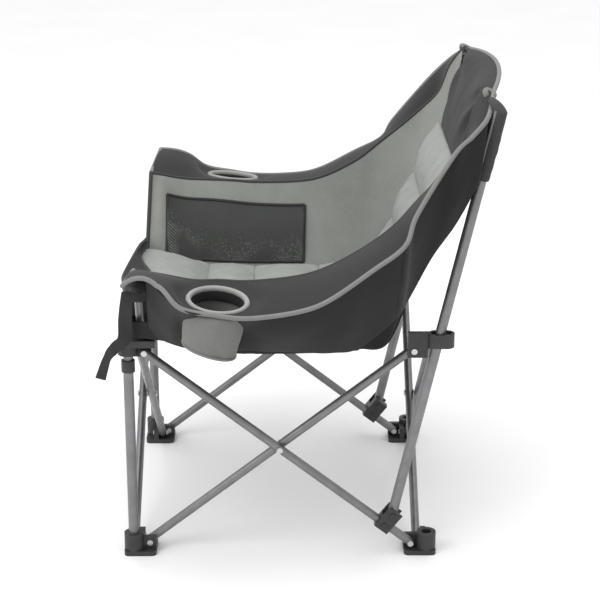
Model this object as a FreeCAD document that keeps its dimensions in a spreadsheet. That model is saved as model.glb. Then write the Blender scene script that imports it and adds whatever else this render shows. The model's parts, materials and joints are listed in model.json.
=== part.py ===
import FreeCAD, Part
import math
import os

from FreeCAD import Placement, Rotation, Vector

# Folding camping chair with a four-scissor frame and a padded bucket seat.
# Millimetres, +Z up. The chair faces -Y, and its right-hand side, as seen from in front, is +X.

SIZES = {
    # pins of the four scissors: a square plan, two heights
    "pin_span": 490.0,
    "foot_pin_height": 20.0,
    "hub_pin_height": 403.0,
    # cross tubes and the planes they lap in
    "brace_diameter": 16.0,
    "brace_wall": 1.2,
    "lap_gap": 1.5,
    "corner_offset": 30.0,
    "outer_plane": "=pin_span / 2 + corner_offset",
    # rivets
    "rivet_radius": 3.0,
    "rivet_clearance": 0.05,
    "rivet_head_radius": 5.5,
    "rivet_head_height": 2.0,
    "washer_radius": 7.0,
    "washer_clearance": 0.2,
    # plastic corners
    "lug_thickness": 10.0,
    "lug_gap": 0.5,
    "lug_reach": 12.0,
    "block_width": 36.0,
    "base_height": 9.0,
    "foot_height": 42.0,
    "socket_floor": 6.0,
    "hub_plate": 13.0,
    "hub_rise": 14.0,
    "boss_height": 12.0,
    "boss_radius": 11.0,
    "foot_corner_radius": 9.0,
    # telescoping front legs
    "leg_diameter": 19.0,
    "leg_wall": 1.4,
    "slide_clearance": 0.05,
    "collar_drop": 37.0,
    "collar_low": "=hub_pin_height - collar_drop",
    "collar_height": 22.0,
    "collar_step": 12.0,
    "collar_radius": 12.5,
    "leg_overlap": 262.0,
    "inner_leg_wall": 1.2,
    # arm posts
    "post_diameter": 16.0,
    "post_back": 26.0,
    "post_length": 122.0,
    "post_lean": 20.0,
    # rear uprights, their clamps and guide loops
    "upright_diameter": 19.0,
    "upright_wall": 1.4,
    "upright_length": 788.0,
    "upright_lean": 12.7,
    "clamp_distance": 63.5,
    "clamp_offset": 25.0,
    "clamp_length": 30.0,
    "clamp_wall": 3.0,
    "clamp_top": 11.0,
    "clamp_gap": 0.1,
    "loop_back": 4.6,
    "loop_rise": 23.0,
    "loop_length": 38.0,
    "loop_play": 0.5,
    "loop_wall": 5.0,
    "loop_height": 26.0,
    "sleeve_wall": 4.0,
    "sleeve_length": 128.0,
    # cloth and padding
    "cloth": 2.5,
    "pad_thickness": 26.0,
    "pad_edge": 9.0,
    "channel_depth": 8.0,
    "sling_thickness": 5.0,
    "sling_gap": 0.4,
    "seat_inset": 39.0,
    "seat_half_width": "=outer_plane - seat_inset",
    "seat_front_narrowing": 20.0,
    "back_inset": 45.0,
    "back_half_width": "=outer_plane - back_inset",
    "back_narrowing": 14.0,
    "headrest_thickness": 18.0,
    "headrest_gather": 3.0,
    "headrest_gap": 12.5,
    "headrest_inset": 9.0,
    "inner_fullness": 7.0,
    "side_fullness": 9.0,
    # cup holders
    "cup_out": 141.0,
    "cup_side": "=outer_plane + cup_out",
    "cup_behind": 171.0,
    "cup_front": "=outer_plane - cup_behind",
    "cup_rise": 146.0,
    "cup_height": "=hub_pin_height + cup_rise",
    "cup_lean": 6.5,
    "cup_pitch": 4.5,
    "ring_outer_radius": 55.5,
    "ring_inner_radius": 46.0,
    "ring_height": 11.0,
    "ring_rise": 5.0,
    "pouch_radius": 53.0,
    "pouch_wall": 2.5,
    "pouch_depth": 76.0,
    "cup_clearance": 0.4,
    # mesh pocket on one inner arm panel
    "mesh": 1.6,
    "mesh_gap": 0.4,
    "mesh_mouth": 10.0,
    # pockets round the arm posts, and the strap
    "post_cover_wall": 4.5,
    "post_pocket_height": 30.0,
    "post_cap_height": 26.0,
    "strap_thickness": 3.0,
    "strap_width": 26.0,
}

doc = FreeCAD.newDocument("camping_chair")
sheet = doc.addObject("Spreadsheet::Sheet", "Sizes")
for row, (alias, value) in enumerate(SIZES.items(), start=1):
    sheet.set(f"A{row}", alias)
    sheet.set(f"B{row}", str(value))
    sheet.setAlias(f"B{row}", alias)
doc.recompute()


class Dimensions:
    """The sheet's values by name, with the ones it works out from others."""

    def __getattr__(self, alias):
        return float(sheet.get(alias))


d = Dimensions()
nodes = []

X_AXIS = Vector(1, 0, 0)
Y_AXIS = Vector(0, 1, 0)
Z_AXIS = Vector(0, 0, 1)


# Document objects with sizes bound to the sheet

def bound(kind, **expressions):
    thing = doc.addObject("Part::" + kind, kind)
    for field, expression in expressions.items():
        thing.setExpression(field, expression)
    return thing


def along(axis):
    """Rotation that lays a primitive's own Z along an axis."""
    return Rotation(Z_AXIS, axis)


def rod(radius, length, start, axis=Z_AXIS):
    thing = bound("Cylinder", Radius=radius, Height=length)
    thing.Placement = Placement(start, along(axis))
    return thing


def block(low, high):
    """Box between two corners that were worked out from the sheet."""
    thing = doc.addObject("Part::Box", "Box")
    thing.Length = high.x - low.x
    thing.Width = high.y - low.y
    thing.Height = high.z - low.z
    thing.Placement = Placement(low, Rotation())
    return thing


def fuse(*things):
    thing = doc.addObject("Part::MultiFuse", "Fuse")
    thing.Shapes = list(things)
    return thing


def cut(base, *tools):
    thing = doc.addObject("Part::Cut", "Cut")
    thing.Base = base
    thing.Tool = tools[0] if len(tools) == 1 else fuse(*tools)
    return thing


def node(name, thing):
    thing.Label = name
    nodes.append(thing)
    return thing


def solid_node(name, shape):
    thing = doc.addObject("Part::Feature", name)
    thing.Shape = shape
    return node(name, thing)


# Places that several pieces share

half_span = d.pin_span / 2
outer_plane = d.outer_plane
pin_rise = d.hub_pin_height - d.foot_pin_height
brace_length = math.hypot(d.pin_span, pin_rise)
brace_radius = d.brace_diameter / 2
lap_pitch = d.brace_diameter + d.lap_gap
inner_plane = outer_plane - lap_pitch
block_inner = outer_plane - d.block_width / 2
block_outer = outer_plane + d.block_width / 2
leg_radius = d.leg_diameter / 2
bore_radius = leg_radius - d.leg_wall
inner_leg_radius = bore_radius - d.slide_clearance
upright_radius = d.upright_diameter / 2

PLANE = {"outer": outer_plane, "inner": inner_plane}
OTHER = {"outer": "inner", "inner": "outer"}
SIDES = {"right": 1, "left": -1}
ENDS = {"front": -1, "rear": 1}

# which lap plane the side tube takes at each corner; the cross tube there takes the other one
SIDE_LAP = {
    ("foot", "front", "right"): "inner",
    ("top", "front", "right"): "outer",
    ("foot", "rear", "right"): "outer",
    ("top", "rear", "right"): "inner",
    ("foot", "front", "left"): "outer",
    ("top", "front", "left"): "inner",
    ("foot", "rear", "left"): "inner",
    ("top", "rear", "left"): "outer",
}


def pin_height(level):
    return d.foot_pin_height if level == "foot" else d.hub_pin_height


def side_pin(level, end, side):
    """Centre of a side tube's end."""
    x = SIDES[side] * PLANE[SIDE_LAP[level, end, side]]
    return Vector(x, ENDS[end] * half_span, pin_height(level))


def cross_pin(level, end, side):
    """Centre of a front or rear tube's end."""
    y = ENDS[end] * PLANE[OTHER[SIDE_LAP[level, end, side]]]
    return Vector(SIDES[side] * half_span, y, pin_height(level))


# Cross tubes: round ends about their pins, and a hole for each rivet

def brace(name, start, finish, pin_axis, extra_holes=()):
    run = (finish - start).normalize()
    frame = Placement(start, Rotation(run.cross(pin_axis) * -1, pin_axis, run, "ZYX"))

    def hole(distance):
        start_point = Vector(0, -d.brace_diameter, distance)
        return rod("Sizes.rivet_radius + Sizes.rivet_clearance", "2 * Sizes.brace_diameter",
                   start_point, Y_AXIS)

    tube = rod("Sizes.brace_diameter / 2", str(brace_length), Vector(0, 0, 0))
    ends = []
    for place in (0, brace_length):
        end = bound("Sphere", Radius="Sizes.brace_diameter / 2")
        end.Placement.Base = Vector(0, 0, place)
        ends.append(end)
    bore_start = d.brace_diameter
    bore = rod("Sizes.brace_diameter / 2 - Sizes.brace_wall", str(brace_length - 2 * bore_start),
               Vector(0, 0, bore_start))
    places = [0, brace_length / 2, brace_length, *extra_holes]
    made = cut(fuse(tube, *ends), bore, *[hole(place) for place in places])
    made.Placement = frame
    return node(name, made)


def braces():
    for side in SIDES:
        clamp_hole = brace_length - d.clamp_distance
        brace(f"side_tube_down_{side}", side_pin("top", "front", side), side_pin("foot", "rear", side),
              X_AXIS, [clamp_hole])
        brace(f"side_tube_up_{side}", side_pin("foot", "front", side), side_pin("top", "rear", side), X_AXIS)
    for end in ENDS:
        for side, far in (("right", "left"), ("left", "right")):
            brace(f"{end}_tube_from_{side}", cross_pin("foot", end, side), cross_pin("top", end, far), Y_AXIS)


# Rivets: a shank with two heads

def rivet(low, high, axis):
    """Rivet whose heads lie outside two points on its axis."""
    run = Vector(axis)
    length = (high - low).dot(run)
    shank = rod("Sizes.rivet_radius", str(length), low, axis)
    tail = rod("Sizes.rivet_head_radius", "Sizes.rivet_head_height", low - run * d.rivet_head_height, axis)
    head = rod("Sizes.rivet_head_radius", "Sizes.rivet_head_height", high, axis)
    return fuse(shank, tail, head)


def lug_faces(lap):
    """Near and far face of the lug beside a tube in a lap plane, and the tube's free face."""
    centre = PLANE[lap]
    if lap == "outer":
        near = centre - brace_radius - d.lug_gap
        return near - d.lug_thickness, near, centre + brace_radius + d.lug_gap
    near = centre + brace_radius + d.lug_gap
    return near, near + d.lug_thickness, centre - brace_radius - d.lug_gap


def corner_rivets(level, end, side):
    made = []
    for lap, place, axis, sign in (
        (SIDE_LAP[level, end, side], side_pin(level, end, side), X_AXIS, SIDES[side]),
        (OTHER[SIDE_LAP[level, end, side]], cross_pin(level, end, side), Y_AXIS, ENDS[end]),
    ):
        low, high, free = lug_faces(lap)
        reach = sorted(sign * value for value in (min(low, free), max(high, free)))
        points = []
        for value in reach:
            point = Vector(place)
            if axis == X_AXIS:
                point.x = value
            else:
                point.y = value
            points.append(point)
        made.append(rivet(points[0], points[1], axis))
    return made


def rivet_holes(level, end, side):
    """Holes for the corner's rivets, through the lugs alone."""
    hole_length = 3 * d.block_width
    across = side_pin(level, end, side) - X_AXIS * (hole_length / 2)
    forward = cross_pin(level, end, side) - Y_AXIS * (hole_length / 2)
    return [rod("Sizes.rivet_radius", str(hole_length), across, X_AXIS),
            rod("Sizes.rivet_radius", str(hole_length), forward, Y_AXIS)]


# Feet, front hubs and rear brackets

def corner_block(end, side, x_range, y_range, z_range):
    """Box given by distances from the middle of the chair."""
    xs = sorted(SIDES[side] * value for value in x_range)
    ys = sorted(ENDS[end] * value for value in y_range)
    return block(Vector(xs[0], ys[0], z_range[0]), Vector(xs[1], ys[1], z_range[1]))


def lugs(level, end, side, low, high, reach_out):
    """The two lugs of a corner, from their pins out to its block."""
    side_low, side_high, free = lug_faces(SIDE_LAP[level, end, side])
    cross_low, cross_high, free = lug_faces(OTHER[SIDE_LAP[level, end, side]])
    inner_end = half_span - d.lug_reach
    return [corner_block(end, side, (side_low, side_high), (inner_end, reach_out), (low, high)),
            corner_block(end, side, (inner_end, reach_out), (cross_low, cross_high), (low, high))]


def foot(end, side):
    corner = Vector(SIDES[side] * outer_plane, ENDS[end] * outer_plane, d.socket_floor)
    inner_end = half_span - d.lug_reach
    lug_top = d.foot_pin_height + d.lug_reach
    plate = corner_block(end, side, (inner_end, block_outer), (inner_end, block_outer), (0, d.base_height))
    rounded = doc.addObject("Part::Fillet", "Fillet")
    rounded.Base = plate
    doc.recompute()
    upright_edges = [index for index, edge in enumerate(plate.Shape.Edges, start=1)
                     if abs(edge.tangentAt(edge.FirstParameter).z) > 0.5]
    rounded.Edges = [(index, d.foot_corner_radius, d.foot_corner_radius) for index in upright_edges]
    socket = rod("Sizes.block_width / 2", "Sizes.foot_height", corner - Z_AXIS * d.socket_floor)
    bore = rod("Sizes.leg_diameter / 2", "Sizes.foot_height", corner)
    body = fuse(rounded, socket, *lugs("foot", end, side, 0, lug_top, outer_plane))
    node(f"{end}_foot_{side}", cut(body, bore, *rivet_holes("foot", end, side)))
    node(f"{end}_foot_rivets_{side}", fuse(*corner_rivets("foot", end, side)))


def post_base(side):
    height = d.hub_pin_height + d.hub_rise + d.hub_plate
    return Vector(SIDES[side] * outer_plane, -(outer_plane - d.post_back), height)


def post_axis(side):
    lean = math.radians(d.post_lean)
    return Vector(SIDES[side] * math.sin(lean), 0, math.cos(lean))


def front_hub(side):
    plate_low = d.hub_pin_height + d.hub_rise
    plate_high = plate_low + d.hub_plate
    rear_end = outer_plane - d.post_back - d.block_width / 2 - d.hub_rise / 2
    plate = corner_block("front", side, (block_inner, block_outer), (rear_end, block_outer),
                         (plate_low, plate_high))
    holder_low = d.collar_low + d.collar_height + d.lug_reach
    corner = Vector(SIDES[side] * outer_plane, -outer_plane, holder_low)
    holder = rod("Sizes.block_width / 2", str(plate_high - holder_low), corner)
    axis = post_axis(side)
    base = post_base(side)
    boss = rod("Sizes.boss_radius", "2 * Sizes.boss_height", base - axis * d.boss_height, axis)
    ear_low = d.hub_pin_height - d.lug_reach
    leg_bore = rod(str(inner_leg_radius), str(plate_high - ear_low), Vector(corner.x, corner.y, ear_low))
    post_bore = rod("Sizes.post_diameter / 2", "2 * Sizes.boss_height", base, axis)
    ears = lugs("top", "front", side, ear_low, plate_high, outer_plane)
    body = fuse(plate, holder, boss, *ears)
    node(f"front_hub_{side}", cut(body, leg_bore, post_bore, *rivet_holes("top", "front", side)))
    node(f"front_hub_rivets_{side}", fuse(*corner_rivets("top", "front", side)))


def loop_centre(side):
    """Middle of the guide loop, just behind the upright that passes through it."""
    height = d.hub_pin_height + d.loop_rise
    axis = upright_axis()
    pivot = upright_pivot(side)
    passing = pivot + axis * ((height - pivot.z) / axis.z)
    return passing + Y_AXIS * d.loop_back


def rear_bracket(side):
    centre = loop_centre(side)
    width = upright_radius + d.loop_play
    straight = d.loop_length / 2 - width
    half = Vector(width + d.loop_wall, d.loop_length / 2 + d.loop_wall, d.loop_height / 2)
    shell_straight = Vector(half.x, straight, half.z)
    shell = [block(centre - shell_straight, centre + shell_straight)]
    hole_straight = Vector(width, straight, d.loop_height)
    hole = [block(centre - hole_straight, centre + hole_straight)]
    for sign in (-1, 1):
        turn = centre + Y_AXIS * sign * straight
        shell.append(rod(str(half.x), "Sizes.loop_height", turn - Z_AXIS * half.z))
        hole.append(rod(str(width), "2 * Sizes.loop_height", turn - Z_AXIS * d.loop_height))
    reach = half.z + d.loop_rise + d.lug_reach
    leaning = centre - Y_AXIS * d.loop_back - upright_axis() * reach
    hole.append(rod(str(width), str(2 * reach), leaning, upright_axis()))
    ear_low = d.hub_pin_height - d.lug_reach
    ear_high = d.hub_pin_height + d.lug_reach
    loop_low, loop_high = centre.z - half.z, centre.z + half.z
    side_ear, _ = lugs("top", "rear", side, ear_low, loop_high, centre.y - half.y)
    neck, _ = lugs("top", "rear", side, loop_low, loop_high, centre.y - straight)
    _, cross_ear = lugs("top", "rear", side, ear_low, ear_high, outer_plane)
    body = fuse(side_ear, neck, cross_ear, *shell)
    node(f"rear_bracket_{side}", cut(body, *hole, *rivet_holes("top", "rear", side)))
    node(f"rear_bracket_rivets_{side}", fuse(*corner_rivets("top", "rear", side)))


# Telescoping front legs, arm posts and rear uprights

def front_leg(side):
    centre = Vector(SIDES[side] * outer_plane, -outer_plane, 0)
    step = d.collar_low + d.collar_step
    outer_length = step - d.socket_floor
    floor = centre + Z_AXIS * d.socket_floor
    outer = cut(rod("Sizes.leg_diameter / 2", str(outer_length), floor),
                rod("Sizes.leg_diameter / 2 - Sizes.leg_wall", str(outer_length), floor))
    node(f"outer_leg_{side}", outer)
    hub_top = d.hub_pin_height + d.hub_rise + d.hub_plate
    low = step - d.leg_overlap
    start = centre + Z_AXIS * low
    inner = cut(rod(str(inner_leg_radius), str(hub_top - low), start),
                rod(str(inner_leg_radius - d.inner_leg_wall), str(hub_top - low), start))
    node(f"inner_leg_{side}", inner)
    collar_start = centre + Z_AXIS * d.collar_low
    collar = cut(rod("Sizes.collar_radius", "Sizes.collar_height", collar_start),
                 rod("Sizes.leg_diameter / 2", "Sizes.collar_step", collar_start),
                 rod(str(bore_radius), "Sizes.collar_height", collar_start))
    node(f"leg_collar_{side}", collar)


def arm_post(side):
    axis = post_axis(side)
    node(f"arm_post_{side}", rod("Sizes.post_diameter / 2", "Sizes.post_length", post_base(side), axis))


def clamp_frame(side):
    """Frame of the clamp: Z up along the side tube from the rear foot, Y away from the tube."""
    finish = side_pin("top", "front", side)
    start = side_pin("foot", "rear", side)
    run = (finish - start).normalize()
    away = Vector(0, run.z, -run.y)
    return Placement(start + run * d.clamp_distance, Rotation(X_AXIS, away, run, "ZYX"))


def upright_pivot(side):
    pivot = clamp_frame(side).multVec(Vector(0, d.clamp_offset, 0))
    pivot.x = SIDES[side] * outer_plane
    return pivot


def upright_axis():
    lean = math.radians(d.upright_lean)
    return Vector(0, math.sin(lean), math.cos(lean))


def clamp(side):
    frame = clamp_frame(side)
    tube_x = 0.0
    upright_x = SIDES[side] * outer_plane - frame.Base.x
    channel = upright_radius + d.clamp_gap
    xs = sorted((tube_x - SIDES[side] * (brace_radius + d.clamp_wall),
                 upright_x + SIDES[side] * (channel + d.clamp_wall)))
    if SIDES[side] * upright_x < d.clamp_gap:
        xs = [upright_x - channel - d.clamp_wall, upright_x + channel + d.clamp_wall]
    top = d.clamp_offset + d.clamp_top
    low = Vector(xs[0], -brace_radius - d.clamp_wall, -d.clamp_length / 2)
    body = block(low, Vector(xs[1], top, d.clamp_length / 2))
    bore = rod("Sizes.brace_diameter / 2", "2 * Sizes.clamp_length", Vector(0, 0, -d.clamp_length))
    floor = d.clamp_offset - upright_radius - d.clamp_wall / 2
    slot = block(Vector(upright_x - channel, floor, -d.clamp_length),
                 Vector(upright_x + channel, 2 * top, d.clamp_length))
    pins = []
    for height in (0, d.clamp_offset):
        pins.append(rivet(Vector(xs[0], height, 0), Vector(xs[1], height, 0), X_AXIS))
    made = fuse(cut(body, bore, slot), *pins)
    made.Placement = frame
    node(f"upright_clamp_{side}", made)


def upright(side):
    pivot = upright_pivot(side)
    frame = Placement(pivot, along(upright_axis()))
    tube = rod("Sizes.upright_diameter / 2", "Sizes.upright_length", Vector(0, 0, 0))
    end = bound("Sphere", Radius="Sizes.upright_diameter / 2")
    bore = rod("Sizes.upright_diameter / 2 - Sizes.upright_wall", "Sizes.upright_length",
               Z_AXIS * d.upright_diameter)
    hole = rod("Sizes.rivet_radius + Sizes.rivet_clearance", "2 * Sizes.upright_diameter",
               X_AXIS * -d.upright_diameter, X_AXIS)
    made = cut(fuse(tube, end), bore, hole)
    made.Placement = frame
    node(f"upright_{side}", made)
    sleeve_start = d.upright_length - d.sleeve_length
    cover = cut(rod("Sizes.upright_diameter / 2 + Sizes.sleeve_wall",
                    "Sizes.sleeve_length + Sizes.sleeve_wall",
                    Z_AXIS * sleeve_start),
                rod("Sizes.upright_diameter / 2", "Sizes.sleeve_length", Z_AXIS * sleeve_start))
    cover.Placement = frame
    node(f"upright_sleeve_{side}", cover)


def crossing_rivet(name, middle, axis):
    """Rivet through the middle of a scissor, with the washer between its tubes."""
    reach = lap_pitch / 2 + brace_radius + d.lug_gap
    washer = d.lap_gap - d.washer_clearance
    run = Vector(axis)
    made = fuse(rivet(middle - run * reach, middle + run * reach, axis),
                rod("Sizes.washer_radius", str(washer), middle - run * (washer / 2), axis))
    node(name, made)


def crossings():
    height = (d.foot_pin_height + d.hub_pin_height) / 2
    lap_middle = (outer_plane + inner_plane) / 2
    for side, sign in SIDES.items():
        crossing_rivet(f"crossing_rivet_{side}", Vector(sign * lap_middle, 0, height), X_AXIS)
    for end, sign in ENDS.items():
        crossing_rivet(f"crossing_rivet_{end}", Vector(0, sign * lap_middle, height), Y_AXIS)


braces()
crossings()
for side_name in SIDES:
    for end_name in ENDS:
        foot(end_name, side_name)
    front_hub(side_name)
    rear_bracket(side_name)
    front_leg(side_name)
    arm_post(side_name)
    clamp(side_name)
    upright(side_name)


# Cloth panels: four edge lines run from the front of an arm to the top of the back.
# Each row holds the seat seam, the inner piping, the rim and the lower hem, and how far
# the row has turned from the arm (0) to the back (1). Places are out, back and up from what
# the row hangs from: the front legs, then the rear brackets, then the tops of the uprights.

ARM_ROWS = [
    ((-48, -3, 34), (18, 7, 179), (165, 15, 195), None, 0.0),
    ((-39, 75, 1), (55, 70, 165), (180, 70, 187), (28, 49, 43), 0.0),
    ((-25, 125, -7), (68, 125, 159), (201, 110, 154), (70, 110, 37), 0.0),
    ((-21, 167, -11), (65, 170, 158), (203, 167, 142), (97, 167, 37), 0.0),
    ((-21, 221, -12), (62, 225, 155), (200, 225, 135), (95, 215, 39), 0.0),
    ((-21, 305, -12), (50, 308, 160), (185, 308, 141), (83, 312, 30), 0.0),
    ((-23, -195, -10), (37, -186, 174), (170, -188, 157), (70, -180, 27), 0.1),
    ((-25, -127, -5), (29, -120, 209), (145, -115, 201), (55, -135, 25), 0.3),
    ((-35, -79, 2), (28, -71, 247), (120, -59, 237), (45, -69, 81), 0.5),
    ((-49, -143.5, -336.5), (6, -137.5, -157.5), (87, -145.5, -161.5), (35, -155.5, -337.5), 0.7),
    ((-63, -101.5, -235.5), (-7, -90.5, -112.5), (40, -81.5, -70.5), (27, -115.5, -257.5), 0.9),
    ((-77, -55.5, -129.5), (-20, -58.5, -75.5), (37, -48.5, -35.5), (25, -71.5, -195.5), 1.0),
    ((-89, -35.5, -57.5), (-53, -41.5, -17.5), (15, -21.5, -7.5), (21, -33.5, -112.5), 1.0),
    ((-97, -23.5, 2.5), (-85, -21.5, 20.5), (-60, -5.5, 18.5), None, 1.0),
]
SEAM, PIPING, RIM, HEM = range(4)
REAR_FIRST = 6
BACK_FIRST = 8
UPRIGHT_FIRST = 9
HEADREST_FIRST = 11
SEAT_REAR = 7
TOP_EDGE = (-125, 6.5, 36.5)

# the side panel's front corner is sewn to the underside of the arm, behind the post
SIDE_FRONT = 1
SIDE_FRONT_TOP = (100, 51, 171)

# ways out of the cloth, into the hollow of the arm, on the arm and on the back
OUT_ARM = Vector(1, 0, 0)
OUT_BACK = Vector(0.5, 0.85, 0)
DOWN_ARM = Vector(0, 0, -1)
DOWN_BACK = Vector(0, 0.9, -0.4)


def hung(row, place, sign=1):
    """A place in a row, from what the row hangs from."""
    if row < REAR_FIRST:
        origin = Vector(outer_plane, -outer_plane, d.hub_pin_height)
    elif row < UPRIGHT_FIRST:
        origin = Vector(outer_plane, outer_plane, d.hub_pin_height)
    else:
        origin = upright_pivot("right") + upright_axis() * d.upright_length
    point = origin + Vector(*place)
    point.x = point.x * sign
    return point


def edge_point(row, line, sign=1):
    return hung(row, ARM_ROWS[row][line], sign)


def seam_points(rows):
    return [edge_point(row, SEAM) for row in rows]


def to_hollow(row, line):
    """From an edge to the same edge on the cloth's hidden face."""
    turn = ARM_ROWS[row][4]
    out = (OUT_ARM * (1 - turn) + OUT_BACK * turn).normalize()
    down = (DOWN_ARM * (1 - turn) + DOWN_BACK * turn).normalize()
    inward = Vector(-1, 0, 0)
    way = {SEAM: out, PIPING: out + down, RIM: inward + down, HEM: inward}[line]
    return way * d.cloth


STRAIGHT = 0.01


def line(first, last):
    return Part.LineSegment(first, last).toShape()


def bowed(first, last, bow):
    if bow.Length < STRAIGHT:
        return line(first, last)
    return Part.Arc(first, (first + last) * 0.5 + bow, last).toShape()


def stuffed(sections):
    """Solid through sections; each has a lower and an upper row of points, and how their stretches bow."""
    rows = []
    for lows, highs, low_bows, high_bows in sections:
        lower = [bowed(lows[place], lows[place + 1], bow) for place, bow in enumerate(low_bows)]
        upper = [bowed(highs[place], highs[place + 1], bow) for place, bow in enumerate(high_bows)]
        rims = [line(lows[0], highs[0]), line(lows[-1], highs[-1])]
        rows.append((lower, upper, rims))
    faces = []
    for before, after in zip(rows, rows[1:]):
        for group in range(3):
            for first, last in zip(before[group], after[group]):
                faces.append(Part.makeRuledSurface(first, last))
    for lower, upper, rims in (rows[0], rows[-1]):
        for first, last in zip(lower, upper):
            faces.append(Part.makeRuledSurface(first, last))
    shell = Part.Shell(faces)
    shell.sewShape()
    shape = Part.Solid(shell)
    if shape.Volume < 0:
        shape.reverse()
    return shape


def panel(first_line, last_line, rows, bow, corners=None):
    """Panel of the right-hand arm between two edge lines; corners replace places on its first line."""
    sections = []
    for row in rows:
        sag = [bow(row)]
        first = (corners or {}).get(row, ARM_ROWS[row][first_line])
        shown = [hung(row, first), edge_point(row, last_line)]
        hidden = [shown[0] + to_hollow(row, first_line), shown[1] + to_hollow(row, last_line)]
        sections.append((hidden, shown, sag, sag))
    return stuffed(sections)


def cup_frame(sign):
    lean = math.tan(math.radians(d.cup_lean))
    pitch = math.tan(math.radians(d.cup_pitch))
    axis = Vector(sign * lean, pitch, 1).normalize()
    return Placement(Vector(sign * d.cup_side, -d.cup_front, d.cup_height), along(axis))


def cup_space(sign):
    """Room for a cup ring and its pouch in the cloth round them."""
    depth = d.ring_height + d.pouch_depth + d.cup_clearance
    hole = Part.makeCylinder(d.ring_outer_radius + d.cup_clearance, 2 * depth, Vector(0, 0, -depth))
    hole.Placement = cup_frame(sign)
    return hole


def inner_bow(row):
    """The inner panels belly towards the hollow of the arm, tight at both ends."""
    share = math.sin(math.pi * row / (len(ARM_ROWS) - 1))
    return Vector(d.inner_fullness * share, 0, -d.inner_fullness * share / 2)


def side_bow(row):
    """The side panels hang in slack folds: every second row bellies further out."""
    share = 1.0 if row % 2 else 0.3
    return Vector(d.side_fullness * share, 0, 0)


def no_bow(row):
    return Vector(0, 0, 0)


def arm_cloth():
    """The right-hand arm's panels, and their mirror images on the left."""
    rows = range(len(ARM_ROWS))
    hem_rows = [row for row in rows if ARM_ROWS[row][HEM]]
    hole = cup_space(1)
    side_panel = panel(RIM, HEM, hem_rows, side_bow, {SIDE_FRONT: SIDE_FRONT_TOP})
    panels = {
        "inner_panel": panel(SEAM, PIPING, rows, inner_bow),
        "arm_top": panel(PIPING, RIM, rows, no_bow).cut(hole),
        "side_panel": side_panel.cut(hole),
    }
    for name, shape in panels.items():
        solid_node(f"{name}_right", shape)
        solid_node(f"{name}_left", shape.mirror(Vector(0, 0, 0), X_AXIS))


def cup_holder(side):
    frame = cup_frame(SIDES[side])
    low = d.ring_rise - d.ring_height
    ring = cut(rod("Sizes.ring_outer_radius", "Sizes.ring_height", Z_AXIS * low),
               rod("Sizes.ring_inner_radius", "Sizes.ring_height", Z_AXIS * low))
    ring.Placement = frame
    node(f"cup_ring_{side}", ring)
    bottom = Z_AXIS * (low - d.pouch_depth)
    pouch = cut(rod("Sizes.pouch_radius", "Sizes.pouch_depth", bottom),
                rod("Sizes.pouch_radius - Sizes.pouch_wall", "Sizes.pouch_depth",
                    bottom + Z_AXIS * d.pouch_wall))
    pouch.Placement = frame
    node(f"cup_pouch_{side}", pouch)


# Quilted cushions: channels across a pad, its crown and its drawn-in sides

PAD_SIDES = [(-1.0, 0.35), (-0.93, 0.75), (-0.78, 0.95), (0.0, 1.0), (0.78, 0.95), (0.93, 0.75), (1.0, 0.35)]


def quilt(path, half_width, thickness, channel):
    """Pad on a path of (y, z) points; each step of the path is one stuffed strip."""
    sections = []
    for share, height in PAD_SIDES:
        base = [Vector(share * half_width(place), y, z) for place, (y, z) in enumerate(path)]
        steps = [Vector(0, after[0] - before[0], after[1] - before[1])
                 for before, after in zip(path, path[1:])]
        ups = [Vector(0, -step.z, step.y).normalize() for step in steps]
        tops = []
        for place, point in enumerate(base):
            beside = ups[max(place - 1, 0)] + ups[min(place, len(ups) - 1)]
            rise = d.pad_edge if place in (0, len(base) - 1) else thickness - channel
            tops.append(point + beside.normalize() * rise * height)
        crowns = []
        for place, up in enumerate(ups):
            crown = (base[place] + base[place + 1]) * 0.5 + up * thickness * height
            crowns.append(crown - (tops[place] + tops[place + 1]) * 0.5)
        flat = [Vector(0, 0, 0)] * len(steps)
        sections.append((base, tops, flat, crowns))
    return stuffed(sections)


def sheet_between(points, thickness):
    """Cloth sheet across the chair through (half width, y, z) points, thickened away from the sitter."""
    sections = []
    for place, (half, y, z) in enumerate(points):
        before = points[max(place - 1, 0)]
        after = points[min(place + 1, len(points) - 1)]
        step = Vector(0, after[1] - before[1], after[2] - before[2])
        behind = Vector(0, step.z, -step.y).normalize() * thickness
        shown = [Vector(-half, y, z), Vector(half, y, z)]
        hidden = [point + behind for point in shown]
        flat = [Vector(0, 0, 0)]
        sections.append((hidden, shown, flat, flat))
    return stuffed(sections)


SEAT_CHANNELS = [0, 2, 4, 6, SEAT_REAR]
CUSHION_LIFT = 0.5


def seat():
    gap = d.sling_gap
    pads = [(point.y, point.z + CUSHION_LIFT) for point in seam_points(SEAT_CHANNELS)]

    def half_width(place):
        return d.seat_half_width - (d.seat_front_narrowing if place == 0 else 0)

    solid_node("seat_cushion", quilt(pads, half_width, d.pad_thickness, d.channel_depth))
    sling = [(point.x - gap, point.y, point.z - 2 * gap) for point in seam_points(range(SEAT_REAR + 1))]
    solid_node("seat_sling", sheet_between(sling, d.sling_thickness))


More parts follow.
